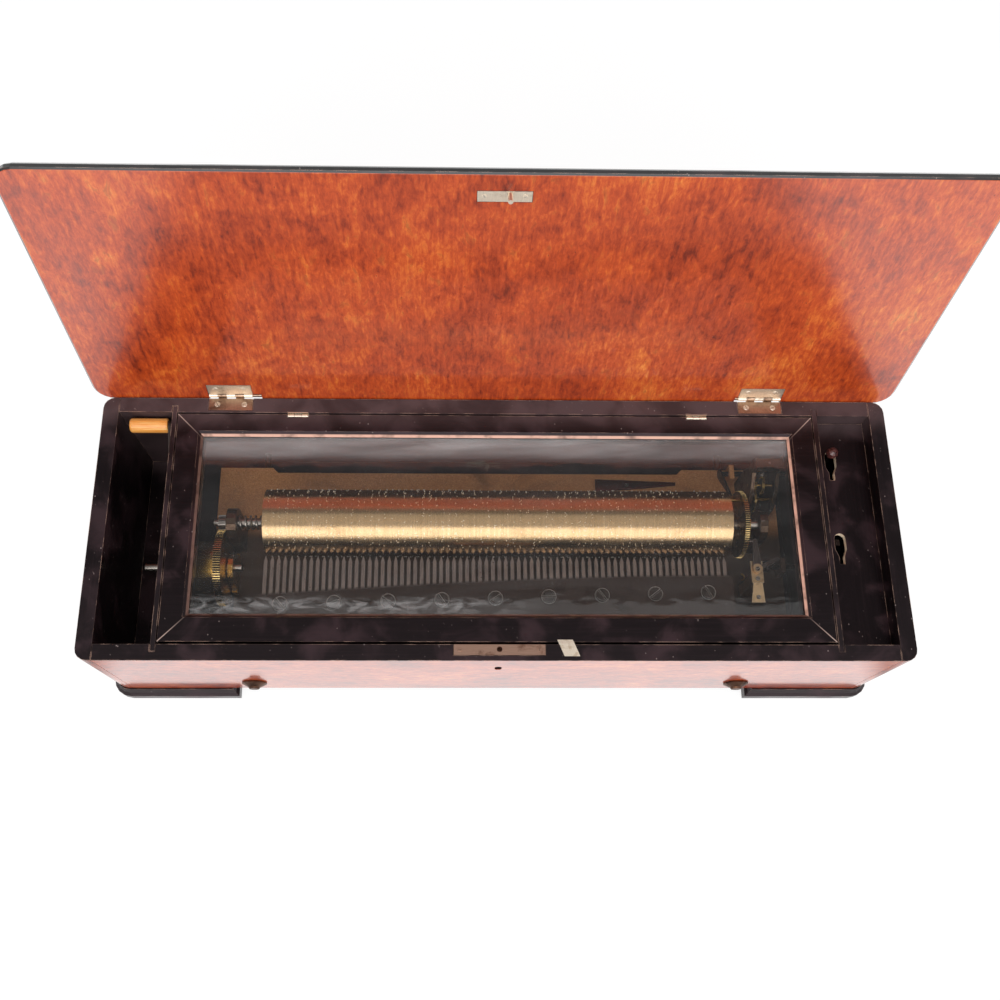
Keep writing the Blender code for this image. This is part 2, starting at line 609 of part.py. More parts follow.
def rod(axis, across, up, low, high, radius, sides=SMALL_SIDES):
    return turned([(low, 0.0), (low, radius), (high, radius), (high, 0.0)], axis, across, up, sides)


def tube(axis, across, up, low, high, outer, bore, sides=SMALL_SIDES):
    return turned([(low, bore), (low, outer), (high, outer), (high, bore)], axis, across, up, sides)


def arc(centre, radius, start, end, steps):
    """Points along an arc, both ends included."""
    return [
        (
            centre[0] + radius * math.cos(start + (end - start) * k / steps),
            centre[1] + radius * math.sin(start + (end - start) * k / steps),
        )
        for k in range(steps + 1)
    ]


def rounded_rectangle(x_low, x_high, y_low, y_high, radius, steps=5):
    quarter = math.pi / 2
    points = arc((x_high - radius, y_high - radius), radius, 0.0, quarter, steps)
    points += arc((x_low + radius, y_high - radius), radius, quarter, 2 * quarter, steps)
    points += arc((x_low + radius, y_low + radius), radius, 2 * quarter, 3 * quarter, steps)
    points += arc((x_high - radius, y_low + radius), radius, 3 * quarter, 4 * quarter, steps)
    return points


def slot_outline(x, y_low, y_high, width, steps=5):
    """A slot with round ends, centred on x and running along y."""
    half = width / 2
    points = arc((x, y_high - half), half, 0.0, math.pi, steps)
    points += arc((x, y_low + half), half, math.pi, math.tau, steps)
    return points


def gear_outline(teeth, module, centre, phase=0.0):
    """Straight-sided teeth round a centre; phase is the angle of the first tooth's middle."""
    pitch_radius = module * teeth / 2
    tip = pitch_radius + module * TOOTH_ADDENDUM_SHARE
    root = pitch_radius - module * TOOTH_DEDENDUM_SHARE
    half_pitch = math.pi / teeth
    corners = (
        (root, -TOOTH_ROOT_SHARE),
        (tip, -TOOTH_TIP_SHARE),
        (tip, TOOTH_TIP_SHARE),
        (root, TOOTH_ROOT_SHARE),
    )
    points = []
    for tooth in range(teeth):
        middle = phase + math.tau * tooth / teeth
        for radius, share in corners:
            angle = middle + share * half_pitch
            points.append((centre[0] + radius * math.cos(angle), centre[1] + radius * math.sin(angle)))
    return points


def meshing_phase(driver_teeth, driver_phase, driven_teeth, direction):
    """The driven gear's phase that puts its gap on the driver's tooth, seen along direction."""
    turned_by = driver_phase - direction
    return direction + math.pi + math.pi / driven_teeth - turned_by * driver_teeth / driven_teeth


def bar_outline(start, end, start_radius, end_radius, steps=6):
    """A flat link with a round boss at each end, in the plane of its two points."""
    angle = math.atan2(end[1] - start[1], end[0] - start[0])
    quarter = math.pi / 2
    points = arc(end, end_radius, angle - quarter, angle + quarter, steps)
    points += arc(start, start_radius, angle + quarter, angle + 3 * quarter, steps)
    return points


# Case

def build_case(stand, wood):
    """Four boards, the bottom board let in between them, and the two partitions."""
    for side, name in ((-1, "left_end_board"), (1, "right_end_board")):
        quarter = math.pi / 2
        radius = CORNER_RADIUS
        outer = HALF_WIDTH - radius
        outline = arc((outer, HALF_DEPTH - radius), radius, 0.0, quarter, 4)
        outline += [(INNER_X, HALF_DEPTH), (INNER_X, -HALF_DEPTH)]
        outline += arc((outer, -HALF_DEPTH + radius), radius, -quarter, 0.0, 4)
        make(name, plate([(side * x, y) for x, y in outline], "Z", -CASE_HEIGHT, 0.0), wood, stand)
    end_x = INNER_X - FIT
    front = make(
        "front_board", box((-end_x, -HALF_DEPTH, -CASE_HEIGHT), (end_x, -INNER_Y, 0.0)), wood, stand
    )
    back = make(
        "back_board", box((-end_x, INNER_Y, -CASE_HEIGHT), (end_x, HALF_DEPTH, 0.0)), wood, stand
    )
    bottom_y = INNER_Y - FIT
    make(
        "bottom_board", box((-end_x, -bottom_y, -CASE_HEIGHT), (end_x, bottom_y, FLOOR_TOP)), wood, stand
    )
    cut_partition_grooves(front, -1)
    cut_partition_grooves(back, 1)
    cut_bed_bolt_holes(front, -1)
    cut_bed_bolt_holes(back, 1)
    cut_lock_recess(front)
    cut_leaf_recesses(back)
    return front, back


def cut_partition_grooves(board, facing):
    half = PARTITION_THICKNESS / 2 + FIT
    for side in (-1, 1):
        middle = side * PARTITION_FROM_MIDDLE
        ends = sorted((facing * (INNER_Y - OVERRUN), facing * (INNER_Y + GROOVE_DEPTH)))
        cut(board, box((middle - half, ends[0], FLOOR_TOP), (middle + half, ends[1], OVERRUN)))


def cut_bed_bolt_holes(board, facing):
    ends = sorted((facing * (INNER_Y - OVERRUN), facing * (HALF_DEPTH + OVERRUN)))
    for x in (BED_BOLT_LEFT, BED_BOLT_RIGHT):
        cut(board, rod("Y", x, BED_BOLT_Z, ends[0], ends[1], BED_BOLT_RADIUS + FIT))


def cut_lock_recess(board):
    """A recess for the lock, open at the top and inside, and the keyhole through to it."""
    half = LOCK_WIDTH / 2 + FIT
    back = -INNER_Y + OVERRUN
    front = -INNER_Y - LOCK_THICKNESS - FIT
    cut(board, box((-half, front, -LOCK_HEIGHT - FIT), (half, back, OVERRUN)))
    low = -KEYHOLE_DROP - KEYHOLE_HEIGHT / 2
    keyhole = slot_outline(0.0, low, low + KEYHOLE_HEIGHT, KEYHOLE_WIDTH)
    cut(board, plate(keyhole, "Y", -HALF_DEPTH - OVERRUN, front + OVERRUN))


def cut_leaf_recesses(board):
    """Seats for the case leaves of the outer hinges and the wall leaves of the glass lid's."""
    half = HINGE_WIDTH / 2 + FIT
    for side in (-1, 1):
        middle = side * HINGE_FROM_MIDDLE
        low = (middle - half, HALF_DEPTH - HINGE_CASE_LEAF - FIT, -LEAF_THICKNESS - FIT)
        cut(board, box(low, (middle + half, HALF_DEPTH + OVERRUN, OVERRUN)))
    half = GLASS_HINGE_WIDTH / 2 + FIT
    for middle in (GLASS_HINGE_LEFT, GLASS_HINGE_RIGHT):
        low = (middle - half, INNER_Y - OVERRUN, GLASS_HINGE_Z - GLASS_HINGE_HEIGHT - FIT)
        high = (middle + half, INNER_Y + GLASS_LEAF_THICKNESS + FIT, OVERRUN)
        cut(board, box(low, high))


def build_partitions(stand, wood):
    reach = INNER_Y + GROOVE_DEPTH - FIT
    parts = []
    for side, name in ((-1, "left_partition"), (1, "right_partition")):
        ends = sorted((side * PARTITION_INNER_X, side * PARTITION_OUTER_X))
        low = (ends[0], -reach, FLOOR_TOP + FIT)
        parts.append(make(name, box(low, (ends[1], reach, -PARTITION_DROP)), wood, stand))
    left, right = parts
    low, high = -PARTITION_OUTER_X - OVERRUN, -PARTITION_INNER_X + OVERRUN
    arbor_hole = WINDING_ARBOR_RADIUS + OVERRUN / 2
    cut(left, rod("X", BARREL_Y, BARREL_Z, low, high, arbor_hole, ROUND_SIDES))
    click_y, click_z = holding_click_pivot()
    cut(left, rod("X", click_y, click_z, low, high, CLICK_PIN_RADIUS + RUNNING))
    for y in (CHANGE_PIVOT_Y, START_PIVOT_Y):
        hole = rod("X", y, -LEVER_PIVOT_DROP, -high, -low, ROCK_SHAFT_RADIUS + RUNNING)
        cut(right, hole)


def foot_outline(side, facing, offset):
    """An L round one corner of the case, its outer faces and ends offset outwards."""
    x_out = HALF_WIDTH + offset
    y_out = HALF_DEPTH + offset
    x_end = HALF_WIDTH - FOOT_LENGTH - offset
    y_end = HALF_DEPTH - FOOT_RETURN - offset
    x_in = HALF_WIDTH - FOOT_THICKNESS
    y_in = HALF_DEPTH - FOOT_THICKNESS
    radius = CORNER_RADIUS + offset
    points = arc((x_out - radius, y_out - radius), radius, 0.0, math.pi / 2, 4)
    points += [(x_end, y_out), (x_end, y_in), (x_in, y_in), (x_in, y_end), (x_out, y_end)]
    return [(side * x, facing * y) for x, y in points]


def build_feet(stand, wood):
    """Moulded bracket feet: a cove under the case, then a plain block."""
    top = -CASE_HEIGHT - FIT
    for facing, where in ((-1, "front"), (1, "back")):
        for side, hand in ((-1, "left"), (1, "right")):
            rings = []
            for drop_share, offset_share in FOOT_PROFILE_SHARES:
                z = top - drop_share * (FOOT_HEIGHT - FIT)
                outline = foot_outline(side, facing, offset_share * FOOT_PROJECTION)
                rings.append([(x, y, z) for x, y in outline])
            make(f"{where}_{hand}_foot", lofted(rings), wood, stand)


def build_bed_bolts(stand, steel):
    """Domed washer, slotted head and shank, turned as one piece."""
    shank_end = BED_BOLT_GRIP - OVERRUN
    for facing, where in ((-1, "front"), (1, "back")):
        face = HALF_DEPTH + FIT
        inner = (INNER_Y - FIT if facing < 0 else BED_BACK + BED_BACK_LUG - FIT) - shank_end
        profile = [
            (inner, 0.0),
            (inner, BED_BOLT_RADIUS),
            (face, BED_BOLT_RADIUS),
            (face, WASHER_RADIUS),
            (face + WASHER_RIM, WASHER_RADIUS),
            (face + WASHER_HEIGHT, SCREW_HEAD_RADIUS),
            (face + WASHER_HEIGHT + SCREW_HEAD_HEIGHT, SCREW_HEAD_RADIUS - WASHER_RIM),
            (face + WASHER_HEIGHT + SCREW_HEAD_HEIGHT, 0.0),
        ]
        profile = [(facing * y, radius) for y, radius in profile]
        tip = facing * (face + WASHER_HEIGHT + SCREW_HEAD_HEIGHT)
        ends = sorted((tip - facing * SCREW_SLOT_DEPTH, tip + facing * OVERRUN))
        for x, hand in ((BED_BOLT_LEFT, "left"), (BED_BOLT_RIGHT, "right")):
            bolt = make(
                f"{where}_{hand}_bed_bolt", turned(profile, "Y", x, BED_BOLT_Z, 16), steel, stand
            )
            half = SCREW_SLOT_WIDTH / 2
            low = (x - SCREW_HEAD_RADIUS, ends[0], BED_BOLT_Z - half)
            cut(bolt, box(low, (x + SCREW_HEAD_RADIUS, ends[1], BED_BOLT_Z + half)))


# Lock

def bolt_low_x():
    """The lock bolt's near end when it is drawn back from the catch hole."""
    return CATCH_HOLE_RADIUS + FIT


def build_lock(stand, bolt_pivot, brass, steel):
    half = LOCK_WIDTH / 2
    front = -INNER_Y - LOCK_THICKNESS
    lock = make("lock_case", box((-half, front, -LOCK_HEIGHT), (half, -INNER_Y, 0.0)), brass, stand)
    cut(lock, rod("Z", 0.0, CATCH_Y, -CATCH_HOLE_DEPTH, OVERRUN, CATCH_HOLE_RADIUS, ROUND_SIDES))
    channel = BOLT_THICKNESS / 2 + FIT
    low = (-BOLT_TRAVEL, CATCH_Y - channel, -BOLT_DROP - BOLT_HEIGHT - FIT)
    high = (bolt_low_x() + BOLT_LENGTH + FIT, CATCH_Y + channel, -BOLT_DROP + FIT)
    cut(lock, box(low, high))
    key_low = -KEYHOLE_DROP - KEYHOLE_HEIGHT / 2
    keyhole = slot_outline(0.0, key_low, key_low + KEYHOLE_HEIGHT, KEYHOLE_WIDTH)
    cut(lock, plate(keyhole, "Y", front - OVERRUN, front + KEYHOLE_DEPTH))
    half = BOLT_THICKNESS / 2
    low = (bolt_low_x(), CATCH_Y - half, -BOLT_DROP - BOLT_HEIGHT)
    high = (bolt_low_x() + BOLT_LENGTH, CATCH_Y + half, -BOLT_DROP)
    make("lock_bolt", box(low, high), steel, bolt_pivot)


# Outer lid

def knuckle_spans(middle, width, count):
    """The x range of each of a hinge's knuckles, left to right."""
    low = middle - width / 2
    step = width / count
    return [(low + k * step + FIT / 2, low + (k + 1) * step - FIT / 2) for k in range(count)]


def build_outer_hinge(name, middle, pin_low, pin_high, stand, lid_pivot, metal):
    """A butt hinge. The pin is fast in the case leaf's knuckles and turns in the lid leaf's."""
    spans = knuckle_spans(middle, HINGE_WIDTH, 5)
    half = HINGE_WIDTH / 2
    bore = HINGE_PIN_RADIUS + RUNNING
    shared_edge = HALF_DEPTH - FIT
    low = (middle - half, HALF_DEPTH - HINGE_CASE_LEAF, -LEAF_THICKNESS)
    case_leaf = make(
        f"{name}_case_leaf", box(low, (middle + half, shared_edge, 0.0)), metal, stand
    )
    low = (middle - half, HALF_DEPTH - HINGE_LID_LEAF, LID_GAP)
    lid_leaf = make(
        f"{name}_lid_leaf",
        box(low, (middle + half, shared_edge, LID_GAP + LEAF_THICKNESS)),
        metal,
        lid_pivot,
    )
    for k, (low_x, high_x) in enumerate(spans):
        leaf = lid_leaf if k % 2 == 0 else case_leaf
        bottom, top = (LID_GAP, LID_GAP + LEAF_THICKNESS) if k % 2 == 0 else (-LEAF_THICKNESS, 0.0)
        reach = HINGE_Y - (KNUCKLE_RADIUS + bore) / 2 if k % 2 == 0 else HINGE_Y
        join(leaf, box((low_x, shared_edge - FIT, bottom), (high_x, reach, top)))
        if k % 2 == 0:
            join(leaf, tube("X", HINGE_Y, HINGE_Z, low_x, high_x, KNUCKLE_RADIUS, bore))
        else:
            join(leaf, rod("X", HINGE_Y, HINGE_Z, low_x, high_x, KNUCKLE_RADIUS))
    pin = rod("X", HINGE_Y, HINGE_Z, middle - half - pin_low, middle + half + pin_high, HINGE_PIN_RADIUS)
    join(case_leaf, pin)
    return lid_leaf


def build_lid(lid_pivot, wood, steel):
    """The lid board with a thumbnail edge, seats for its hinge leaves, and the catch plate."""
    back = HALF_DEPTH + LID_BACK_OVERHANG
    front = -HALF_DEPTH - LID_FRONT_OVERHANG
    side = HALF_WIDTH + LID_SIDE_OVERHANG
    rings = []
    for inset_share, height_share in LID_EDGE_SHARES:
        inset = inset_share * LID_EDGE
        radius = LID_CORNER_RADIUS - inset
        z = LID_GAP + height_share * LID_THICKNESS
        outline = rounded_rectangle(-side + inset, side - inset, front + inset, back - inset, radius)
        rings.append([(x, y, z) for x, y in outline])
    board = make("lid_board", lofted(rings), wood, lid_pivot)
    half = HINGE_WIDTH / 2 + FIT
    seat = LID_GAP + LEAF_THICKNESS + FIT
    for hand, pin_overhang in ((-1, LEFT_PIN_OVERHANG), (1, RIGHT_PIN_OVERHANG)):
        middle = hand * HINGE_FROM_MIDDLE
        low = (middle - half, HALF_DEPTH - HINGE_LID_LEAF - FIT, LID_GAP - OVERRUN)
        cut(board, box(low, (middle + half, HALF_DEPTH + OVERRUN, seat)))
        pin_end = middle - hand * (half + pin_overhang)
        cut(board, knuckle_notch(sorted((middle + hand * half, pin_end)), back))
    cut(board, catch_plate(FIT))
    build_catch(lid_pivot, steel)


def knuckle_notch(ends, back):
    """Room in the lid's back edge for a hinge's knuckles and the overhanging end of its pin."""
    low = (ends[0], HINGE_Y - KNUCKLE_RADIUS - FIT, LID_GAP - OVERRUN)
    return box(low, (ends[1], back + OVERRUN, HINGE_Z + KNUCKLE_RADIUS + FIT))


def catch_plate(margin):
    """The catch's plate, let into the lid's underside, or the recess for it."""
    half_x = CATCH_PLATE_WIDTH / 2 + margin
    half_y = CATCH_PLATE_DEPTH / 2 + margin
    x, y = -CATCH_PLATE_OFFSET, CATCH_Y + CATCH_PLATE_SETBACK
    bottom = LID_GAP - OVERRUN if margin else LID_GAP
    top = LID_GAP + CATCH_PLATE_THICKNESS + margin
    return box((x - half_x, y - half_y, bottom), (x + half_x, y + half_y, top))


def build_catch(lid_pivot, steel):
    """A plate under the lid with a post that drops into the lock; the bolt enters its window."""
    catch = make("lid_catch", catch_plate(0.0), steel, lid_pivot)
    post_low = LID_GAP - CATCH_POST_LENGTH
    post_high = LID_GAP + CATCH_PLATE_THICKNESS / 2
    join(catch, rod("Z", 0.0, CATCH_Y, post_low, post_high, CATCH_POST_RADIUS))
    window = BOLT_THICKNESS / 2 + CATCH_WINDOW_MARGIN
    low = (-CATCH_POST_RADIUS - OVERRUN, CATCH_Y - window, -BOLT_DROP - BOLT_HEIGHT - FIT)
    cut(catch, box(low, (CATCH_POST_RADIUS + OVERRUN, CATCH_Y + window, -BOLT_DROP + FIT)))


# Glass inner lid

def frame_ring(expand, z):
    """A rectangle round the glass opening, grown outwards by expand; None gives the outside."""
    if expand is None:
        x, front, back = FRAME_X, FRAME_FRONT_Y, FRAME_BACK_Y
    else:
        x, front, back = OPENING_X + expand, OPENING_FRONT_Y - expand, OPENING_BACK_Y + expand
    return [(-x, front, z), (x, front, z), (x, back, z), (-x, back, z)]


def mitred_frame(section):
    """A moulding carried round a rectangle; section lists (expand, z) round the moulding."""
    shape = bmesh.new()
    loops = [[shape.verts.new(point) for point in frame_ring(expand, z)] for expand, z in section]
    for k, loop in enumerate(loops):
        following = loops[(k + 1) % len(loops)]
        for side in range(4):
            n = (side + 1) % 4
            shape.faces.new((loop[side], loop[n], following[n], following[side]))
    return shape


def build_glass_lid(glass_pivot, stand, wood, glass, metal, card):
    glass_top = FRAME_TOP - GLASS_DROP
    glass_bottom = glass_top - GLASS_THICKNESS
    section = [
        (None, FRAME_BOTTOM),
        (None, FRAME_TOP),
        (FRAME_BEVEL, FRAME_TOP),
        (0.0, FRAME_TOP - FRAME_BEVEL),
        (0.0, glass_top + FIT),
        (GLASS_LET_IN, glass_top + FIT),
        (GLASS_LET_IN, glass_bottom - FIT),
        (0.0, glass_bottom - FIT),
        (0.0, FRAME_BOTTOM),
    ]
    frame = make("glass_lid_frame", mitred_frame(section), wood, glass_pivot)
    expand = GLASS_LET_IN - FIT
    low = (-OPENING_X - expand, OPENING_FRONT_Y - expand, glass_bottom)
    high = (OPENING_X + expand, OPENING_BACK_Y + expand, glass_top)
    make("glass_pane", box(low, high), glass, glass_pivot)
    for middle, hand in ((GLASS_HINGE_LEFT, "left"), (GLASS_HINGE_RIGHT, "right")):
        build_glass_hinge(hand, middle, frame, glass_pivot, stand, metal)
    build_pull_tab(glass_pivot, card)


def build_glass_hinge(hand, middle, frame, glass_pivot, stand, metal):
    """A small hinge: one leaf in the back board, the other let into the frame's back face."""
    half = GLASS_HINGE_WIDTH / 2
    spans = knuckle_spans(middle, GLASS_HINGE_WIDTH, 3)
    bottom = GLASS_HINGE_Z - GLASS_HINGE_HEIGHT
    radius = GLASS_KNUCKLE_RADIUS
    clear = radius + FIT
    notch = (middle - half - FIT, GLASS_HINGE_Y - clear, GLASS_HINGE_Z - clear)
    cut(frame, box(notch, (middle + half + FIT, FRAME_BACK_Y + OVERRUN, FRAME_TOP + OVERRUN)))
    seat = (middle - half - FIT, frame_leaf_front() - FIT, bottom - FIT)
    cut(frame, box(seat, (middle + half + FIT, FRAME_BACK_Y + OVERRUN, GLASS_HINGE_Z)))
    wall_low = (middle - half, INNER_Y, bottom)
    wall_high = (middle + half, INNER_Y + GLASS_LEAF_THICKNESS, -PARTITION_DROP)
    wall_leaf = make(f"glass_hinge_{hand}_wall_leaf", box(wall_low, wall_high), metal, stand)
    low_x, high_x = spans[1]
    knuckle_low = (low_x, GLASS_HINGE_Y, GLASS_HINGE_Z - radius / 2)
    join(wall_leaf, box(knuckle_low, (high_x, INNER_Y + GLASS_LEAF_THICKNESS / 2, GLASS_HINGE_Z + radius / 2)))
    join(wall_leaf, rod("X", GLASS_HINGE_Y, GLASS_HINGE_Z, low_x, high_x, radius))
    join(wall_leaf, rod("X", GLASS_HINGE_Y, GLASS_HINGE_Z, middle - half, middle + half, GLASS_PIN_RADIUS))
    leaf_low = (middle - half, frame_leaf_front(), bottom)
    leaf_high = (middle + half, frame_leaf_front() + GLASS_LEAF_THICKNESS, GLASS_HINGE_Z - clear)
    frame_leaf = make(f"glass_hinge_{hand}_frame_leaf", box(leaf_low, leaf_high), metal, glass_pivot)
    for low_x, high_x in (spans[0], spans[2]):
        top = GLASS_HINGE_Z - radius / 2
        web = (low_x, frame_leaf_front(), GLASS_HINGE_Z - clear - FIT)
        join(frame_leaf, box(web, (high_x, frame_leaf_front() + GLASS_LEAF_THICKNESS, top)))
        bore = GLASS_PIN_RADIUS + RUNNING
        join(frame_leaf, tube("X", GLASS_HINGE_Y, GLASS_HINGE_Z, low_x, high_x, radius, bore))


def frame_leaf_front():
    """The frame leaf hangs from the back half of its knuckles' front edge."""
    return GLASS_HINGE_Y - GLASS_KNUCKLE_RADIUS


def build_pull_tab(glass_pivot, card):
    """A limp card tab: stuck on the frame's front member, bent up over the case's rim."""
    root_y = -INNER_Y + TAB_LENGTH * 0.3
    stations = (
        (root_y, FRAME_TOP + FIT),
        (-INNER_Y + FRAME_FRONT_GAP, TAB_LIFT - FIT),
        (-INNER_Y, TAB_LIFT),
        (root_y - TAB_LENGTH, TAB_LIFT),
    )
    rings = []
    for y, z in stations:
        slide = TAB_SKEW * (root_y - y) / TAB_LENGTH
        low_x = TAB_LEFT + slide
        high_x = low_x + TAB_WIDTH
        top = z + TAB_THICKNESS
        rings.append([(low_x, y, z), (high_x, y, z), (high_x, y, top), (low_x, y, top)])
    make("pull_tab", lofted(rings), card, glass_pivot)


# Control board and its levers

def keyhole_slot(front):
    """A control slot: narrow in front, a taper, then wide with a round back."""
    narrow = SLOT_NARROW_WIDTH / 2
    wide = SLOT_WIDTH / 2
    taper_start = front + SLOT_NARROW_LENGTH
    taper_end = taper_start + SLOT_TAPER_LENGTH
    back = taper_end + SLOT_WIDE_LENGTH - wide
    points = [(SLOT_X - narrow, front), (SLOT_X + narrow, front), (SLOT_X + narrow, taper_start)]
    points += [(SLOT_X + wide, taper_end)]
    points += arc((SLOT_X, back), wide, 0.0, math.pi, 6)
    points += [(SLOT_X - wide, taper_end), (SLOT_X - narrow, taper_start)]
    return points


def build_control_board(stand, wood):
    reach = INNER_Y - FIT
    low = (PARTITION_OUTER_X + FIT, -reach, -BOARD_DROP - BOARD_THICKNESS)
    board = make("control_board", box(low, (INNER_X - FIT, reach, -BOARD_DROP)), wood, stand)
    for front in (CHANGE_SLOT_FRONT, START_SLOT_FRONT):
        cutter = plate(keyhole_slot(front), "Z", low[2] - OVERRUN, -BOARD_DROP + OVERRUN)
        cut(board, cutter)


def control_lever(name, pivot, y, stem_length, lean, inner_end, steel):
    """A rock shaft with a hub and a flat stem that stands up through its slot."""
    z = -LEVER_PIVOT_DROP
    hub_low = SLOT_X - LEVER_HUB_WIDTH / 2
    hub_high = SLOT_X + LEVER_HUB_WIDTH / 2
    lever = make(name, rod("X", y, z, hub_low, hub_high, LEVER_HUB_RADIUS, ROUND_SIDES), steel, pivot)
    join(lever, rod("X", y, z, inner_end, hub_low + FIT, ROCK_SHAFT_RADIUS))
    half = LEVER_STEM_THICKNESS / 2
    foot = -LEVER_HUB_RADIUS / 2
    corners = ((-half, -foot), (half, -foot), (half, stem_length), (-half, stem_length))
    outline = [lean_point(y, z, lean, across, up) for across, up in corners]
    low, high = SLOT_X - LEVER_STEM_WIDTH / 2, SLOT_X + LEVER_STEM_WIDTH / 2
    join(lever, plate(outline, "X", low, high))
    return lever


def lean_point(y, z, lean, across, up):
    """A point of a lever that leans forward by lean, from its place on the upright lever."""
    return (
        y + across * math.cos(lean) - up * math.sin(lean),
        z + across * math.sin(lean) + up * math.cos(lean),
    )


def build_control_levers(change_pivot, start_pivot, steel, ebony):
    change = control_lever(
        "change_lever",
        change_pivot,
        CHANGE_PIVOT_Y,
        CHANGE_STEM_LENGTH,
        CHANGE_LEVER_LEAN,
        CHANGE_SHAFT_INNER_END,
        steel,
    )
    tip = (
        CHANGE_PIVOT_Y + CHANGE_FINGER_LENGTH * math.cos(CHANGE_FINGER_ANGLE),
        -LEVER_PIVOT_DROP + CHANGE_FINGER_LENGTH * math.sin(CHANGE_FINGER_ANGLE),
    )
    finger = bar_outline(
        (CHANGE_PIVOT_Y, -LEVER_PIVOT_DROP), tip, FINGER_WIDTH * 0.8, FINGER_WIDTH * 0.2
    )
    end = CHANGE_SHAFT_INNER_END
    join(change, plate(finger, "X", end, end + CHANGE_FINGER_THICKNESS))
    start = control_lever(
        "start_lever",
        start_pivot,
        START_PIVOT_Y,
        START_STEM_LENGTH,
        START_LEVER_LEAN,
        START_SHAFT_INNER_END,
        steel,
    )
    end = START_SHAFT_INNER_END
    finger = bar_outline(
        (START_PIVOT_Y, -LEVER_PIVOT_DROP),
        (START_PIVOT_Y, -LEVER_PIVOT_DROP + START_FINGER_LENGTH),
        FINGER_WIDTH * 0.8,
        STOP_TAIL_RADIUS,
    )
    join(start, plate(finger, "X", end, end + START_FINGER_THICKNESS))
    build_knob(change_pivot, ebony)


def build_knob(change_pivot, ebony):
    """A round-topped wooden knob, bored to slip over the end of the change lever's stem."""
    base = CHANGE_STEM_LENGTH - KNOB_GRIP
    rings = []
    for height_share, radius_share in ((0.0, 0.62), (0.22, 0.95), (0.5, 1.0), (0.78, 0.8), (1.0, 0.3)):
        up = base + height_share * KNOB_HEIGHT
        radius = radius_share * KNOB_RADIUS
        ring = []
        for k in range(SMALL_SIDES):
            angle = math.tau * k / SMALL_SIDES
            y, z = lean_point(
                CHANGE_PIVOT_Y, -LEVER_PIVOT_DROP, CHANGE_LEVER_LEAN, radius * math.sin(angle), up
            )
            ring.append((SLOT_X + radius * math.cos(angle), y, z))
        rings.append(ring)
    knob = make("change_knob", lofted(rings), ebony, change_pivot)
    half = LEVER_STEM_THICKNESS / 2 + FIT
    corners = (
        (-half, base - OVERRUN),
        (half, base - OVERRUN),
        (half, CHANGE_STEM_LENGTH + FIT),
        (-half, CHANGE_STEM_LENGTH + FIT),
    )
    socket = [
        lean_point(CHANGE_PIVOT_Y, -LEVER_PIVOT_DROP, CHANGE_LEVER_LEAN, a, u) for a, u in corners
    ]
    half_x = LEVER_STEM_WIDTH / 2 + FIT
    cut(knob, plate(socket, "X", SLOT_X - half_x, SLOT_X + half_x))


# Bedplate and what stands on it

def build_bedplate(stand, iron):
    """The plate, its left lug, the slot for the great wheel, and lugs for the rock shafts."""
    front = -INNER_Y + FIT
    back_lug = BED_BACK + BED_BACK_LUG
    outline = [
        (BED_LEFT, front),
        (BED_RIGHT, front),
        (BED_RIGHT, back_lug),
        (BED_BACK_LUG_RIGHT_END + BED_BACK_LUG, back_lug),
        (BED_BACK_LUG_RIGHT_END, BED_BACK),
        (BED_BACK_LUG_LEFT_END, BED_BACK),
        (BED_BACK_LUG_LEFT_END - BED_BACK_LUG, back_lug),
        (BED_LEFT, back_lug),
        (BED_LEFT, BED_LUG_BACK),
        (BED_LUG_LEFT, BED_LUG_BACK),
        (BED_LUG_LEFT, BED_LUG_FRONT),
        (BED_LEFT, BED_LUG_FRONT),
    ]
    bed = make("bedplate", plate(outline, "Z", BED_BOTTOM, BED_TOP), iron, stand)
    reach = BARREL_WHEEL_RADIUS - OVERRUN
    low = (BARREL_WHEEL_X - WHEEL_SLOT_MARGIN, BARREL_Y - reach, BED_BOTTOM - OVERRUN)
    high_x = BARREL_WHEEL_X + BARREL_WHEEL_WIDTH + WHEEL_SLOT_MARGIN
    cut(bed, box(low, (high_x, BARREL_Y + reach, BED_TOP + OVERRUN)))
    places = (
        (SHAFT_LUG_OUTER_X, START_PIVOT_Y),
        (SHAFT_LUG_OUTER_X, CHANGE_PIVOT_Y),
        (SHAFT_LUG_INNER_X, CHANGE_PIVOT_Y),
    )
    half = SHAFT_LUG_WIDTH / 2
    for x, y in places:
        low = (x, y - half, BED_TOP - OVERRUN)
        high = (x + SHAFT_LUG_THICKNESS, y + half, -LEVER_PIVOT_DROP + SHAFT_LUG_CROWN)
        join(bed, box(low, high))
        bore = ROCK_SHAFT_RADIUS + RUNNING
        ends = (x - OVERRUN, x + SHAFT_LUG_THICKNESS + OVERRUN)
        cut(bed, rod("X", y, -LEVER_PIVOT_DROP, ends[0], ends[1], bore))
    for x in (BED_BOLT_LEFT, BED_BOLT_RIGHT):
        bore = BED_BOLT_RADIUS + FIT
        cut(bed, rod("Y", x, BED_BOLT_Z, front - OVERRUN, front + BED_BOLT_GRIP, bore))
        cut(bed, rod("Y", x, BED_BOLT_Z, back_lug - BED_BOLT_GRIP, back_lug + OVERRUN, bore))
    return bed


def bearing_outline(y, z, width, foot_width, crown):
    """An upright bearing with a spread foot and a round head over its bore."""
    base = BED_TOP + FIT
    foot_top = base + COCK_FOOT_HEIGHT
    half = width / 2
    foot = foot_width / 2
    shoulder = z + crown - half
    points = [(y - foot, base), (y + foot, base), (y + foot, foot_top), (y + half, foot_top)]
    points += arc((y, shoulder), half, 0.0, math.pi, 8)
    points += [(y - half, foot_top), (y - foot, foot_top)]
    return points


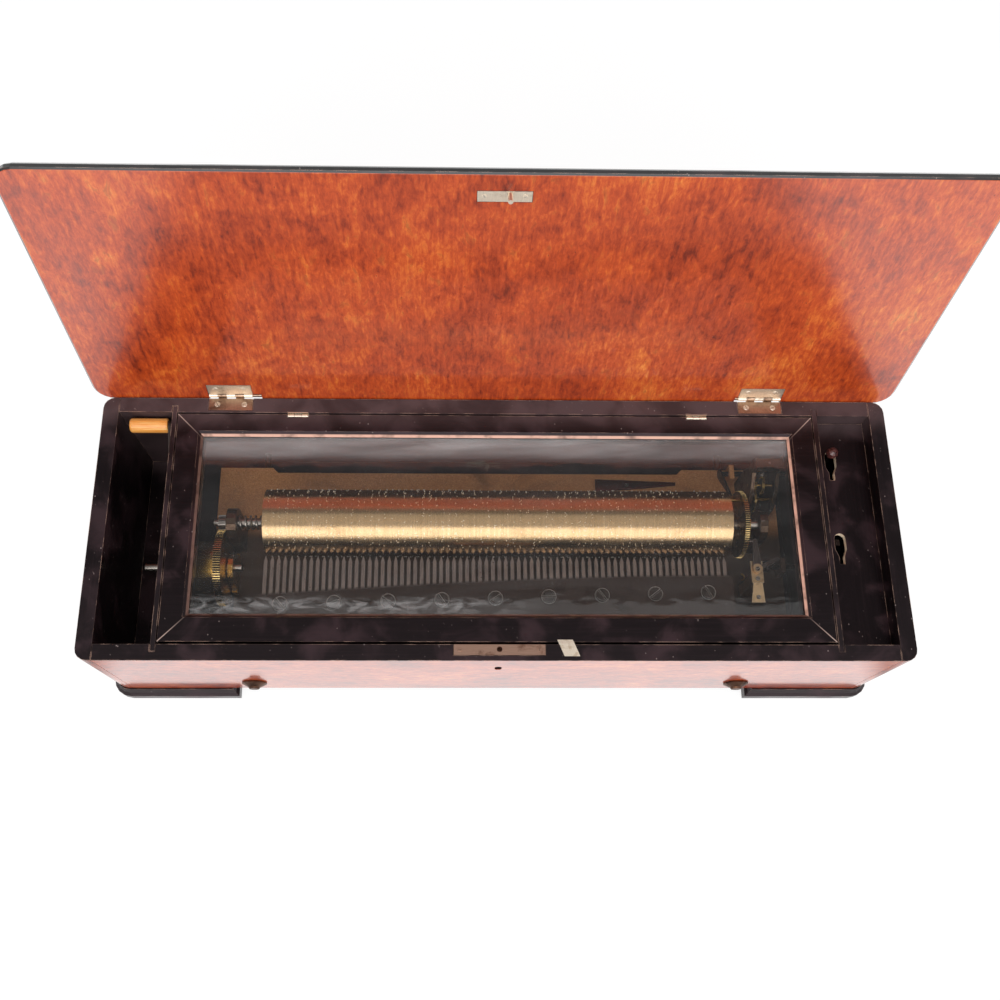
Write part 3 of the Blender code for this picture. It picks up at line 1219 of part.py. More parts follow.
def build_cylinder_cocks(stand, brass):
    for name, x, thickness in (
        ("cylinder_left_cock", LEFT_COCK_X, LEFT_COCK_THICKNESS),
        ("cylinder_right_cock", RIGHT_COCK_X, RIGHT_COCK_THICKNESS),
    ):
        foot = COCK_WIDTH if x < 0 else COCK_FOOT_WIDTH - COCK_CROWN
        outline = bearing_outline(CYLINDER_Y, CYLINDER_Z, COCK_WIDTH, foot, COCK_CROWN)
        cock = make(name, plate(outline, "X", x, x + thickness), brass, stand)
        bore = JOURNAL_RADIUS + RUNNING
        ends = (x - OVERRUN, x + thickness + OVERRUN)
        cut(cock, rod("X", CYLINDER_Y, CYLINDER_Z, ends[0], ends[1], bore, ROUND_SIDES))


def build_barrel_bridges(stand, brass):
    for name, x in (
        ("barrel_left_bridge", BARREL_LEFT_BRIDGE_X),
        ("barrel_right_bridge", BARREL_RIGHT_BRIDGE_X),
    ):
        outline = bearing_outline(BARREL_Y, BARREL_Z, BRIDGE_WIDTH, COCK_FOOT_WIDTH, BRIDGE_CROWN)
        outline = [(min(y, CYLINDER_Y - COCK_WIDTH / 2 - FIT), z) for y, z in outline]
        bridge = make(name, plate(outline, "X", x, x + BRIDGE_THICKNESS), brass, stand)
        bore = WINDING_JOURNAL_RADIUS + RUNNING
        ends = (x - OVERRUN, x + BRIDGE_THICKNESS + OVERRUN)
        cut(bridge, rod("X", BARREL_Y, BARREL_Z, ends[0], ends[1], bore, ROUND_SIDES))


# Comb

def comb_root(x):
    """How far back the teeth are cut: long bass teeth on the left, short treble on the right."""
    along = (x - COMB_LEFT) / (COMB_RIGHT - COMB_LEFT)
    along = min(max(along, 0.0), 1.0)
    return COMB_TREBLE_ROOT + (COMB_BASS_ROOT - COMB_TREBLE_ROOT) * (1.0 - along) ** COMB_ROOT_CURVE_SHARE


def build_comb(stand, steel, brass):
    tip = CYLINDER_Y - CYLINDER_RADIUS - PIN_HEIGHT - COMB_TIP_GAP
    pitch = (COMB_RIGHT - COMB_LEFT) / (COMB_TEETH - 1)
    half = pitch * COMB_TOOTH_SHARE / 2
    left = COMB_LEFT - COMB_END_MARGIN
    right = COMB_RIGHT + COMB_END_MARGIN
    outline = [(right, comb_root(right)), (right, COMB_PLATE_FRONT)]
    outline += [(left, COMB_PLATE_FRONT), (left, comb_root(left))]
    for tooth in range(COMB_TEETH):
        x = COMB_LEFT + tooth * pitch
        root = comb_root(x)
        outline += [(x - half, root), (x - half, tip - COMB_POINT), (x, tip)]
        outline += [(x + half, tip - COMB_POINT), (x + half, root)]
    low = COMB_TOP - COMB_TOOTH_THICKNESS
    comb = make("comb", plate(outline, "Z", low, COMB_TOP), steel, stand)
    under = [(left, COMB_PLATE_FRONT), (right, COMB_PLATE_FRONT)]
    steps = 6
    for k in range(steps + 1):
        x = right + (left - right) * k / steps
        under.append((x, comb_root(x) - COMB_PLATE_STEP))
    join(comb, plate(under, "Z", COMB_TOP - COMB_PLATE_THICKNESS, low + FIT))
    base_top = COMB_TOP - COMB_PLATE_THICKNESS - FIT
    base_bottom = BED_TOP + FIT
    foot_top = base_bottom + COMB_BASE_FOOT_HEIGHT
    section = [
        (COMB_BASE_FRONT - COMB_BASE_FOOT, base_bottom),
        (COMB_BASE_FRONT + COMB_BASE_DEPTH, base_bottom),
        (COMB_BASE_FRONT + COMB_BASE_DEPTH, base_top),
        (COMB_PLATE_FRONT, base_top),
        (COMB_BASE_FRONT, foot_top),
        (COMB_BASE_FRONT - COMB_BASE_FOOT, foot_top),
    ]
    make("comb_base", plate(section, "X", left, right), brass, stand)


# Cylinder, its arbor and drive wheel

def build_cylinder_arbor(pivot, steel):
    """The arbor, thinner at its journals, with the pinion that the great wheel drives."""
    profile = [
        (ARBOR_LEFT, 0.0),
        (ARBOR_LEFT, JOURNAL_RADIUS),
        (LEFT_COCK_X + LEFT_COCK_THICKNESS + FIT, JOURNAL_RADIUS),
        (LEFT_COCK_X + LEFT_COCK_THICKNESS + FIT, ARBOR_RADIUS),
        (RIGHT_COCK_X - FIT, ARBOR_RADIUS),
        (RIGHT_COCK_X - FIT, JOURNAL_RADIUS),
        (ARBOR_RIGHT, JOURNAL_RADIUS),
        (ARBOR_RIGHT, 0.0),
    ]
    arbor = make("cylinder_arbor", turned(profile, "X", CYLINDER_Y, CYLINDER_Z, ROUND_SIDES), steel, pivot)
    phase = meshing_phase(BARREL_TEETH, 0.0, PINION_TEETH, BARREL_ANGLE)
    outline = gear_outline(PINION_TEETH, BARREL_MODULE, (CYLINDER_Y, CYLINDER_Z), phase)
    join(arbor, plate(outline, "X", BARREL_WHEEL_X, BARREL_WHEEL_X + BARREL_WHEEL_WIDTH))


def build_drive_wheel(pivot, brass):
    """The wheel at the right end, with its hub, the drive pin, the snail's stud and the stop hole."""
    high = DRIVE_WHEEL_X + DRIVE_WHEEL_WIDTH
    outline = gear_outline(DRIVE_WHEEL_TEETH, DRIVE_WHEEL_MODULE, (CYLINDER_Y, CYLINDER_Z))
    wheel = make("drive_wheel", plate(outline, "X", DRIVE_WHEEL_X, high), brass, pivot)
    hub_end = high + DRIVE_WHEEL_HUB_RADIUS
    join(wheel, rod("X", CYLINDER_Y, CYLINDER_Z, high - FIT, hub_end, DRIVE_WHEEL_HUB_RADIUS, ROUND_SIDES))
    bore = ARBOR_RADIUS + FIT
    ends = (DRIVE_WHEEL_X - OVERRUN, hub_end + OVERRUN)
    cut(wheel, rod("X", CYLINDER_Y, CYLINDER_Z, ends[0], ends[1], bore, ROUND_SIDES))
    y, z = orbit_point(DRIVE_PIN_ORBIT, DRIVE_PIN_ANGLE)
    pin_end = CYLINDER_LEFT + CYLINDER_LENGTH - DRIVE_PIN_REACH
    join(wheel, rod("X", y, z, pin_end, DRIVE_WHEEL_X + FIT, DRIVE_PIN_RADIUS, 8))
    stud_end = DRIVE_WHEEL_X - STAR_THICKNESS - SNAIL_BASE - FIT
    join(wheel, rod("X", SNAIL_Y, SNAIL_Z, stud_end, DRIVE_WHEEL_X + FIT, SNAIL_BORE - RUNNING))
    hole_y = STOP_PIVOT_Y + STOP_ARM_REACH
    hole_z = STOP_PLATE_TOP + FIT + STOP_ARM_THICKNESS / 2
    spread = math.hypot(hole_y - CYLINDER_Y, hole_z - CYLINDER_Z)
    hole = orbit_point(spread, math.pi / 2)
    ends = (DRIVE_WHEEL_X - OVERRUN, high + OVERRUN)
    cut(wheel, rod("X", hole[0], hole[1], ends[0], ends[1], STOP_HOLE_RADIUS))


def orbit_point(radius, angle):
    """A point round the cylinder's axis, in y and z."""
    return CYLINDER_Y + radius * math.cos(angle), CYLINDER_Z + radius * math.sin(angle)


def build_cylinder(pivot, brass):
    """A thin tube with a cap at each end; its right cap has the drive pin's hole and the feeler."""
    low = CYLINDER_LEFT
    high = CYLINDER_LEFT + CYLINDER_LENGTH
    bore = ARBOR_RADIUS + RUNNING
    inner = CYLINDER_RADIUS - CYLINDER_WALL
    profile = [
        (low, bore),
        (low, CYLINDER_RADIUS),
        (high, CYLINDER_RADIUS),
        (high, bore),
        (high - CYLINDER_CAP, bore),
        (high - CYLINDER_CAP, inner),
        (low + CYLINDER_CAP, inner),
        (low + CYLINDER_CAP, bore),
    ]
    body = make("cylinder", turned(profile, "X", CYLINDER_Y, CYLINDER_Z, FINE_SIDES), brass, pivot)
    y, z = orbit_point(DRIVE_PIN_ORBIT, DRIVE_PIN_ANGLE)
    ends = (high - CYLINDER_CAP - OVERRUN, high + OVERRUN)
    cut(body, rod("X", y, z, ends[0], ends[1], DRIVE_PIN_RADIUS + FIT))
    y, z = SNAIL_Y, SNAIL_Z + FEELER_ORBIT
    join(body, rod("X", y, z, high - CYLINDER_CAP / 2, snail_low_face() - FIT, FEELER_RADIUS, 8))


def snail_low_face():
    """The face of the snail's lowest step, which the feeler on the cylinder rests on."""
    return DRIVE_WHEEL_X - FIT - STAR_THICKNESS - SNAIL_BASE


def build_snail(pivot, steel):
    """A six-point star under a stack of sectors, one step higher for each tune."""
    star = []
    for point in range(SNAIL_STEPS):
        for radius, share in ((STAR_RADIUS, 0.0), (STAR_ROOT, 0.5)):
            angle = math.tau * (point + share) / SNAIL_STEPS
            star.append((SNAIL_Y + radius * math.cos(angle), SNAIL_Z + radius * math.sin(angle)))
    high = DRIVE_WHEEL_X - FIT
    snail = make("tune_snail", plate(star, "X", high - STAR_THICKNESS, high), steel, pivot)
    low = snail_low_face()
    join(snail, rod("X", SNAIL_Y, SNAIL_Z, low, high - STAR_THICKNESS / 2, SNAIL_RADIUS, ROUND_SIDES))
    sector = math.tau / SNAIL_STEPS
    feeler_angle = math.pi / 2
    for step in range(1, SNAIL_STEPS):
        start = feeler_angle - sector * (SNAIL_STEPS - 0.5)
        end = feeler_angle - sector * (step - 0.5)
        count = 3 * (SNAIL_STEPS - step)
        wedge = [(SNAIL_Y, SNAIL_Z)] + arc((SNAIL_Y, SNAIL_Z), SNAIL_RADIUS, start, end, count)
        face = low - SNAIL_STEP * step
        join(snail, plate(wedge, "X", face, face + SNAIL_STEP * 1.5))
    ends = (low - SNAIL_STEP * SNAIL_STEPS, high + OVERRUN)
    cut(snail, rod("X", SNAIL_Y, SNAIL_Z, ends[0], ends[1], SNAIL_BORE))


def least_self_gap(points, wire_radius, apart):
    """The least distance between two stretches of one wire, from its own points."""
    least = math.inf
    for first, point in enumerate(points):
        for other in points[first + apart:]:
            least = min(least, (other - point).length)
    return least - 2 * wire_radius


def build_shift_spring(pivot, steel):
    """The open coil spring that pushes the cylinder towards the snail."""
    low = LEFT_COCK_X + LEFT_COCK_THICKNESS + SPRING_WIRE_RADIUS + FIT
    high = CYLINDER_LEFT - SPRING_WIRE_RADIUS - FIT
    radius = ARBOR_RADIUS + SPRING_CLEARANCE + SPRING_WIRE_RADIUS
    count = SPRING_CURLS * SPRING_POINTS
    points = []
    for k in range(count + 1):
        angle = math.tau * k / SPRING_POINTS
        x = low + (high - low) * k / count
        points.append(Vector((x, CYLINDER_Y + radius * math.cos(angle), CYLINDER_Z + radius * math.sin(angle))))
    gap = least_self_gap(points, SPRING_WIRE_RADIUS, SPRING_POINTS // 2)
    print(f"shift_spring: least gap to itself {gap / MM:.2f} mm")
    curve = bpy.data.curves.new("shift_spring", "CURVE")
    curve.dimensions = "3D"
    curve.bevel_depth = SPRING_WIRE_RADIUS
    curve.bevel_resolution = 1
    curve.use_fill_caps = True
    spline = curve.splines.new("POLY")
    spline.points.add(count)
    for point, place in zip(spline.points, points):
        point.co = (*(place - Vector(pivot["rim_place"])), 1.0)
    curve.materials.append(steel)
    made = bpy.data.objects.new("shift_spring", curve)
    bpy.context.scene.collection.objects.link(made)
    made.parent = pivot


# Spring barrel and winding work

def build_barrel(pivot, brass, steel):
    """The great wheel with its drum, the drum's cover and the mainspring inside."""
    wheel_high = BARREL_WHEEL_X + BARREL_WHEEL_WIDTH
    low = BARREL_WHEEL_X - BARREL_LENGTH
    bore = WINDING_ARBOR_RADIUS + RUNNING
    inner = BARREL_RADIUS - BARREL_WALL
    outline = gear_outline(BARREL_TEETH, BARREL_MODULE, (BARREL_Y, BARREL_Z))
    wheel = make("spring_barrel", plate(outline, "X", BARREL_WHEEL_X, wheel_high), brass, pivot)
    join(wheel, rod("X", BARREL_Y, BARREL_Z, low, BARREL_WHEEL_X + FIT, BARREL_RADIUS, DRUM_SIDES))
    cut(wheel, rod("X", BARREL_Y, BARREL_Z, low - OVERRUN, BARREL_WHEEL_X, inner, DRUM_SIDES))
    ends = (BARREL_WHEEL_X - OVERRUN, wheel_high + OVERRUN)
    cut(wheel, rod("X", BARREL_Y, BARREL_Z, ends[0], ends[1], bore, ROUND_SIDES))
    cover_low = low + FIT
    cover = tube("X", BARREL_Y, BARREL_Z, cover_low, cover_low + BARREL_COVER, inner - FIT, bore, ROUND_SIDES)
    make("barrel_cover", cover, brass, pivot)
    spring_low = cover_low + BARREL_COVER + FIT
    spring = plate(mainspring_outline(inner - FIT), "X", spring_low, BARREL_WHEEL_X - FIT)
    make("mainspring", spring, steel, pivot)


def mainspring_outline(outer):
    """A spiral ribbon, its outer coil just inside the drum."""
    count = MAINSPRING_TURNS * MAINSPRING_POINTS
    growth = (outer - MAINSPRING_THICKNESS - MAINSPRING_INNER) / count
    inside, outside = [], []
    for k in range(count + 1):
        angle = math.tau * k / MAINSPRING_POINTS
        radius = MAINSPRING_INNER + growth * k
        for points, r in ((inside, radius), (outside, radius + MAINSPRING_THICKNESS)):
            points.append((BARREL_Y + r * math.cos(angle), BARREL_Z + r * math.sin(angle)))
    return inside + outside[::-1]


def build_winding_arbor(pivot, steel):
    """The arbor through the barrel, with the ratchet wheel fast on its outer end."""
    left_journal = BARREL_LEFT_BRIDGE_X - OVERRUN
    left_shoulder = BARREL_LEFT_BRIDGE_X + BRIDGE_THICKNESS + FIT
    right_shoulder = BARREL_RIGHT_BRIDGE_X - FIT
    profile = [
        (WINDING_ARBOR_LEFT, 0.0),
        (WINDING_ARBOR_LEFT, WINDING_JOURNAL_RADIUS),
        (RATCHET_X - FIT, WINDING_JOURNAL_RADIUS),
        (RATCHET_X - FIT, WINDING_ARBOR_RADIUS),
        (left_journal, WINDING_ARBOR_RADIUS),
        (left_journal, WINDING_JOURNAL_RADIUS),
        (left_shoulder, WINDING_JOURNAL_RADIUS),
        (left_shoulder, WINDING_ARBOR_RADIUS),
        (right_shoulder, WINDING_ARBOR_RADIUS),
        (right_shoulder, WINDING_JOURNAL_RADIUS),
        (WINDING_ARBOR_RIGHT, WINDING_JOURNAL_RADIUS),
        (WINDING_ARBOR_RIGHT, 0.0),
    ]
    arbor = make("winding_arbor", turned(profile, "X", BARREL_Y, BARREL_Z, ROUND_SIDES), steel, pivot)
    teeth = []
    for tooth in range(RATCHET_TEETH):
        for radius, share in ((RATCHET_RADIUS, 0.0), (RATCHET_RADIUS - RATCHET_TOOTH_DEPTH, 0.12)):
            angle = math.tau * (tooth + share) / RATCHET_TEETH
            teeth.append((BARREL_Y + radius * math.cos(angle), BARREL_Z + radius * math.sin(angle)))
    join(arbor, plate(teeth, "X", RATCHET_X, RATCHET_X + RATCHET_WIDTH))


def build_winding_lever(pivot, steel, grip_wood):
    """The lever, drawn lying along y from its hub, with the grip on a spindle at its end."""
    hub = (BARREL_Y, BARREL_Z)
    tip = (BARREL_Y + LEVER_ARM_LENGTH, BARREL_Z)
    neck = (BARREL_Y + LEVER_HUB, BARREL_Z)
    low, high = LEVER_PLATE_X, LEVER_PLATE_X + LEVER_PLATE_THICKNESS
    arm = bar_outline(neck, tip, LEVER_ARM_WIDTH / 2, LEVER_ARM_TIP)
    lever = make("winding_lever", plate(arm, "X", low, high), steel, pivot)
    join(lever, rod("X", *hub, low, high, LEVER_HUB, ROUND_SIDES))
    bore = WINDING_ARBOR_RADIUS + RUNNING
    cut(lever, rod("X", *hub, low - OVERRUN, high + OVERRUN, bore, ROUND_SIDES))
    spindle_end = low - GRIP_LENGTH
    join(lever, rod("X", *tip, spindle_end, low + FIT, GRIP_SPINDLE_RADIUS))
    pin_hole = CLICK_PIN_RADIUS + RUNNING
    pivot_y = BARREL_Y + LEVER_CLICK_PIVOT
    cut(lever, rod("X", pivot_y, BARREL_Z, low - OVERRUN, high + OVERRUN, pin_hole))
    grip_high = low - FIT
    bore = GRIP_SPINDLE_RADIUS + RUNNING
    profile = [(grip_high - share * GRIP_LENGTH, part * GRIP_RADIUS) for share, part in GRIP_END_SHARES]
    profile = [(grip_high, bore)] + profile + [(grip_high - GRIP_LENGTH, bore)]
    make("lever_grip", turned(profile, "X", *tip, ROUND_SIDES), grip_wood, pivot)


def click_tip(angle):
    """Where a click's nose rides, just clear of the ratchet's tooth tips."""
    radius = RATCHET_RADIUS + FIT + CLICK_WIDTH / 4
    return BARREL_Y + radius * math.cos(angle), BARREL_Z + radius * math.sin(angle)


def holding_click_pivot():
    return (
        BARREL_Y + HOLDING_CLICK_PIVOT * math.cos(HOLDING_CLICK_PIVOT_ANGLE),
        BARREL_Z + HOLDING_CLICK_PIVOT * math.sin(HOLDING_CLICK_PIVOT_ANGLE),
    )


def build_click(name, pivot, place, tip, pin_end, steel):
    """A click: a round boss on a pin, narrowing to the nose that rides on the ratchet."""
    outline = bar_outline(place, tip, CLICK_BOSS, CLICK_WIDTH / 4)
    click = make(name, plate(outline, "X", RATCHET_X, RATCHET_X + RATCHET_WIDTH), steel, pivot)
    join(click, rod("X", *place, RATCHET_X + RATCHET_WIDTH - FIT, pin_end, CLICK_PIN_RADIUS))


# Stop work

def build_stop_bracket(stand, brass):
    """A post with a flat head, and a thin tongue that widens and dips towards the front."""
    front = STOP_PIVOT_Y - STOP_PLATE_LENGTH * 0.6
    back = front + STOP_PLATE_LENGTH
    half = STOP_PLATE_WIDTH / 2
    low = (STOP_PIVOT_X - half, front, STOP_PLATE_TOP - STOP_PLATE_THICKNESS)
    bracket = make(
        "stop_bracket", box(low, (STOP_PIVOT_X + half, back, STOP_PLATE_TOP)), brass, stand
    )
    half = STOP_POST_WIDTH / 2
    low = (STOP_PIVOT_X - half, STOP_POST_Y - STOP_POST_DEPTH / 2, BED_TOP + FIT)
    high = (STOP_PIVOT_X + half, STOP_POST_Y + STOP_POST_DEPTH / 2, STOP_PLATE_TOP - FIT)
    join(bracket, box(low, high))
    rings = []
    for along, width, drop in (
        (-FIT, STOP_TONGUE_NARROW, FIT),
        (STOP_TONGUE_LENGTH, STOP_TONGUE_WIDE, STOP_TONGUE_DROP),
        (STOP_TONGUE_LENGTH + STOP_TONGUE_THICKNESS, STOP_TONGUE_WIDE, 2 * STOP_TONGUE_DROP),
    ):
        y = front - along
        top = STOP_PLATE_TOP - drop
        bottom = top - STOP_TONGUE_THICKNESS
        low_x, high_x = STOP_PIVOT_X - width / 2, STOP_PIVOT_X + width / 2
        rings.append([(low_x, y, bottom), (high_x, y, bottom), (high_x, y, top), (low_x, y, top)])
    join(bracket, lofted(rings))
    bore = STOP_PIVOT_RADIUS + RUNNING
    ends = (STOP_PLATE_TOP - STOP_PLATE_THICKNESS - OVERRUN, STOP_PLATE_TOP + OVERRUN)
    cut(bracket, rod("Z", STOP_PIVOT_X, STOP_PIVOT_Y, ends[0], ends[1], bore))


def stop_tail_y():
    """The tail stands a little in front of the start lever's finger."""
    return START_PIVOT_Y - 2 * STOP_TAIL_RADIUS - 3 * FIT


def build_stop_arm(pivot, steel):
    """A flat arm with a hook that rides on the drive wheel's face, and a tail down to the finger."""
    low = STOP_PLATE_TOP + FIT
    high = low + STOP_ARM_THICKNESS
    place = (STOP_PIVOT_X, STOP_PIVOT_Y)
    tip = (STOP_PIVOT_X, STOP_PIVOT_Y + STOP_ARM_REACH)
    tail = (STOP_TAIL_X, stop_tail_y())
    half = STOP_ARM_WIDTH / 2
    arm = make("stop_arm", plate(bar_outline(place, tip, STOP_ARM_BOSS, half), "Z", low, high), steel, pivot)
    join(arm, plate(bar_outline(place, tail, half, half), "Z", low, high))
    hook_end = DRIVE_WHEEL_X + DRIVE_WHEEL_WIDTH + FIT
    middle = (low + high) / 2
    join(arm, rod("X", tip[1], middle, hook_end, STOP_PIVOT_X, STOP_HOOK_RADIUS))
    tail_low = -LEVER_PIVOT_DROP + START_FINGER_LENGTH - STOP_TAIL_RADIUS / 2
    join(arm, rod("Z", *tail, tail_low, low + FIT, STOP_TAIL_RADIUS))
    pin_low = STOP_PLATE_TOP - STOP_PLATE_THICKNESS - FIT
    join(arm, rod("Z", *place, pin_low, low + FIT, STOP_PIVOT_RADIUS))


# Governor

def governor_outline():
    """One side plate: a foot, a belly round both arbors, and a neck up to the worm's top pivot."""
    base = BED_TOP + FIT
    neck = GOVERNOR_NECK / 2
    return [
        (GOVERNOR_FRONT, base),
        (GOVERNOR_BACK, base),
        (GOVERNOR_BACK, SECOND_Z - GOVERNOR_MARGIN),
        (WORM_Y + neck, SECOND_Z + GOVERNOR_MARGIN),
        (WORM_Y + neck, GOVERNOR_TOP),
        (WORM_Y - neck, GOVERNOR_TOP),
        (WORM_Y - neck, SECOND_Z + GOVERNOR_MARGIN + GOVERNOR_NECK),
        (SECOND_Y - GOVERNOR_MARGIN, SECOND_Z + GOVERNOR_MARGIN),
        (FIRST_Y - GOVERNOR_MARGIN, FIRST_Z + GOVERNOR_MARGIN),
        (GOVERNOR_FRONT, FIRST_Z),
    ]


def build_governor_frame(stand, brass):
    """Two side plates on one base, with a bar across the top for the worm's pivot."""
    outline = governor_outline()
    low, high = GOVERNOR_LEFT, GOVERNOR_LEFT + GOVERNOR_PLATE
    frame = make("governor_frame", plate(outline, "X", low, high), brass, stand)
    right = GOVERNOR_RIGHT - GOVERNOR_PLATE
    join(frame, plate(outline, "X", right, GOVERNOR_RIGHT))
    base = BED_TOP + FIT
    inner = (GOVERNOR_LEFT + FIT, GOVERNOR_RIGHT - FIT)
    low = (inner[0], GOVERNOR_FRONT + FIT, base)
    join(frame, box(low, (inner[1], GOVERNOR_BACK - FIT, base + GOVERNOR_BASE)))
    half = GOVERNOR_NECK / 2 - FIT
    low = (inner[0], WORM_Y - half, GOVERNOR_TOP - GOVERNOR_TOP_BAR)
    join(frame, box(low, (inner[1], WORM_Y + half, GOVERNOR_TOP - FIT)))
    bore = GOVERNOR_PIVOT_RADIUS + RUNNING
    wide_bore = GOVERNOR_ARBOR_RADIUS + RUNNING
    ends = (GOVERNOR_LEFT - OVERRUN, GOVERNOR_LEFT + GOVERNOR_PLATE + OVERRUN)
    cut(frame, rod("X", FIRST_Y, FIRST_Z, ends[0], ends[1], wide_bore))
    cut(frame, rod("X", SECOND_Y, SECOND_Z, ends[0], ends[1], bore))
    ends = (right - OVERRUN, GOVERNOR_RIGHT + OVERRUN)
    cut(frame, rod("X", FIRST_Y, FIRST_Z, ends[0], ends[1], bore))
    cut(frame, rod("X", SECOND_Y, SECOND_Z, ends[0], ends[1], bore))
    ends = (GOVERNOR_TOP - GOVERNOR_TOP_BAR - OVERRUN, GOVERNOR_TOP + OVERRUN)
    cut(frame, rod("Z", WORM_X, WORM_Y, ends[0], ends[1], bore))
    ends = (base + GOVERNOR_BASE / 2, base + GOVERNOR_BASE + OVERRUN)
    cut(frame, rod("Z", WORM_X, WORM_Y, ends[0], ends[1], bore))


def governor_phases():
    """Phases of the train's gears, each meshed with the one before it."""
    first_pinion = meshing_phase(DRIVE_WHEEL_TEETH, 0.0, FIRST_PINION_TEETH, FIRST_ARBOR_ANGLE)
    second_pinion = meshing_phase(FIRST_WHEEL_TEETH, 0.0, SECOND_PINION_TEETH, SECOND_ARBOR_ANGLE)
    return first_pinion, second_pinion


def arbor_profile(low, left_radius, shoulder_low, shoulder_high, high):
    """An arbor with a pivot at its right end."""
    return [
        (low, 0.0),
        (low, left_radius),
        (shoulder_low, left_radius),
        (shoulder_low, GOVERNOR_ARBOR_RADIUS),
        (shoulder_high, GOVERNOR_ARBOR_RADIUS),
        (shoulder_high, GOVERNOR_PIVOT_RADIUS),
        (high, GOVERNOR_PIVOT_RADIUS),
        (high, 0.0),
    ]


def build_governor_train(first_pivot, second_pivot, fly_pivot, brass, steel):
    first_phase, second_phase = governor_phases()
    right = GOVERNOR_RIGHT - GOVERNOR_PLATE
    left_inside = GOVERNOR_LEFT + GOVERNOR_PLATE + FIT
    pinion_low = DRIVE_WHEEL_X + (DRIVE_WHEEL_WIDTH - FIRST_PINION_WIDTH) / 2
    profile = [
        (pinion_low, 0.0),
        (pinion_low, GOVERNOR_ARBOR_RADIUS),
        (right - FIT, GOVERNOR_ARBOR_RADIUS),
        (right - FIT, GOVERNOR_PIVOT_RADIUS),
        (GOVERNOR_RIGHT, GOVERNOR_PIVOT_RADIUS),
        (GOVERNOR_RIGHT, 0.0),
    ]
    first = make("governor_first_arbor", turned(profile, "X", FIRST_Y, FIRST_Z, SMALL_SIDES), brass, first_pivot)
    outline = gear_outline(FIRST_PINION_TEETH, DRIVE_WHEEL_MODULE, (FIRST_Y, FIRST_Z), first_phase)
    join(first, plate(outline, "X", pinion_low + FIT, pinion_low + FIRST_PINION_WIDTH))
    outline = gear_outline(FIRST_WHEEL_TEETH, FIRST_WHEEL_MODULE, (FIRST_Y, FIRST_Z))
    join(first, plate(outline, "X", FIRST_WHEEL_X, FIRST_WHEEL_X + FIRST_WHEEL_WIDTH))
    profile = arbor_profile(GOVERNOR_LEFT, GOVERNOR_PIVOT_RADIUS, left_inside, right - FIT, GOVERNOR_RIGHT)
    second = make(
        "governor_second_arbor", turned(profile, "X", SECOND_Y, SECOND_Z, SMALL_SIDES), brass, second_pivot
    )
    outline = gear_outline(SECOND_PINION_TEETH, FIRST_WHEEL_MODULE, (SECOND_Y, SECOND_Z), second_phase)
    pinion_low = FIRST_WHEEL_X + (FIRST_WHEEL_WIDTH - SECOND_PINION_WIDTH) / 2
    join(second, plate(outline, "X", pinion_low, pinion_low + SECOND_PINION_WIDTH))
    outline = gear_outline(WORM_WHEEL_TEETH, WORM_WHEEL_MODULE, (SECOND_Y, SECOND_Z))
    wheel_low = WORM_X - WORM_WHEEL_WIDTH / 2
    join(second, plate(outline, "X", wheel_low, wheel_low + WORM_WHEEL_WIDTH))
    build_worm(fly_pivot, steel)


def worm_thread(start_z):
    """A trapezium swept along a right-hand helix round the worm's axis."""
    root = WORM_PITCH * WORM_THREAD_ROOT_SHARE / 2
    tip = WORM_PITCH * WORM_THREAD_TIP_SHARE / 2
    inner = WORM_CORE_RADIUS - FIT
    section = ((inner, -root), (WORM_THREAD_RADIUS, -tip), (WORM_THREAD_RADIUS, tip), (inner, root))
    rings = []
    for k in range(WORM_TURNS * WORM_POINTS + 1):
        angle = math.tau * k / WORM_POINTS
        rise = start_z + WORM_PITCH * k / WORM_POINTS
        rings.append(
            [
                (WORM_X + radius * math.cos(angle), WORM_Y + radius * math.sin(angle), rise + up)
                for radius, up in section
            ]
        )
    return lofted(rings)


def build_worm(pivot, steel):
    """The endless screw: its thread, its two pivots and the fly that brakes it in the air."""
    base_top = BED_TOP + FIT + GOVERNOR_BASE
    bar_bottom = GOVERNOR_TOP - GOVERNOR_TOP_BAR
    profile = [
        (base_top - GOVERNOR_BASE / 2 + FIT, 0.0),
        (base_top - GOVERNOR_BASE / 2 + FIT, GOVERNOR_PIVOT_RADIUS),
        (base_top + FIT, GOVERNOR_PIVOT_RADIUS),
        (base_top + FIT, WORM_CORE_RADIUS),
        (bar_bottom - FIT, WORM_CORE_RADIUS),
        (bar_bottom - FIT, GOVERNOR_PIVOT_RADIUS),
        (GOVERNOR_TOP, GOVERNOR_PIVOT_RADIUS),
        (GOVERNOR_TOP, 0.0),
    ]
    worm = make("endless_screw", turned(profile, "Z", WORM_X, WORM_Y, SMALL_SIDES), steel, pivot)
    facing_share = 0.75
    gap_at_wheel = SECOND_Z - WORM_PITCH * (facing_share + 0.5)
    join(worm, worm_thread(gap_at_wheel - WORM_PITCH * (WORM_TURNS // 2 - 1)))
    top = GOVERNOR_TOP - FLY_DROP
    low = (WORM_X - FLY_RADIUS, WORM_Y - FLY_THICKNESS / 2, top - FLY_HEIGHT)
    join(worm, box(low, (WORM_X + FLY_RADIUS, WORM_Y + FLY_THICKNESS / 2, top)))


# The whole box

def clear_scene():
    for old in list(bpy.data.objects):
        bpy.data.objects.remove(old, do_unlink=True)


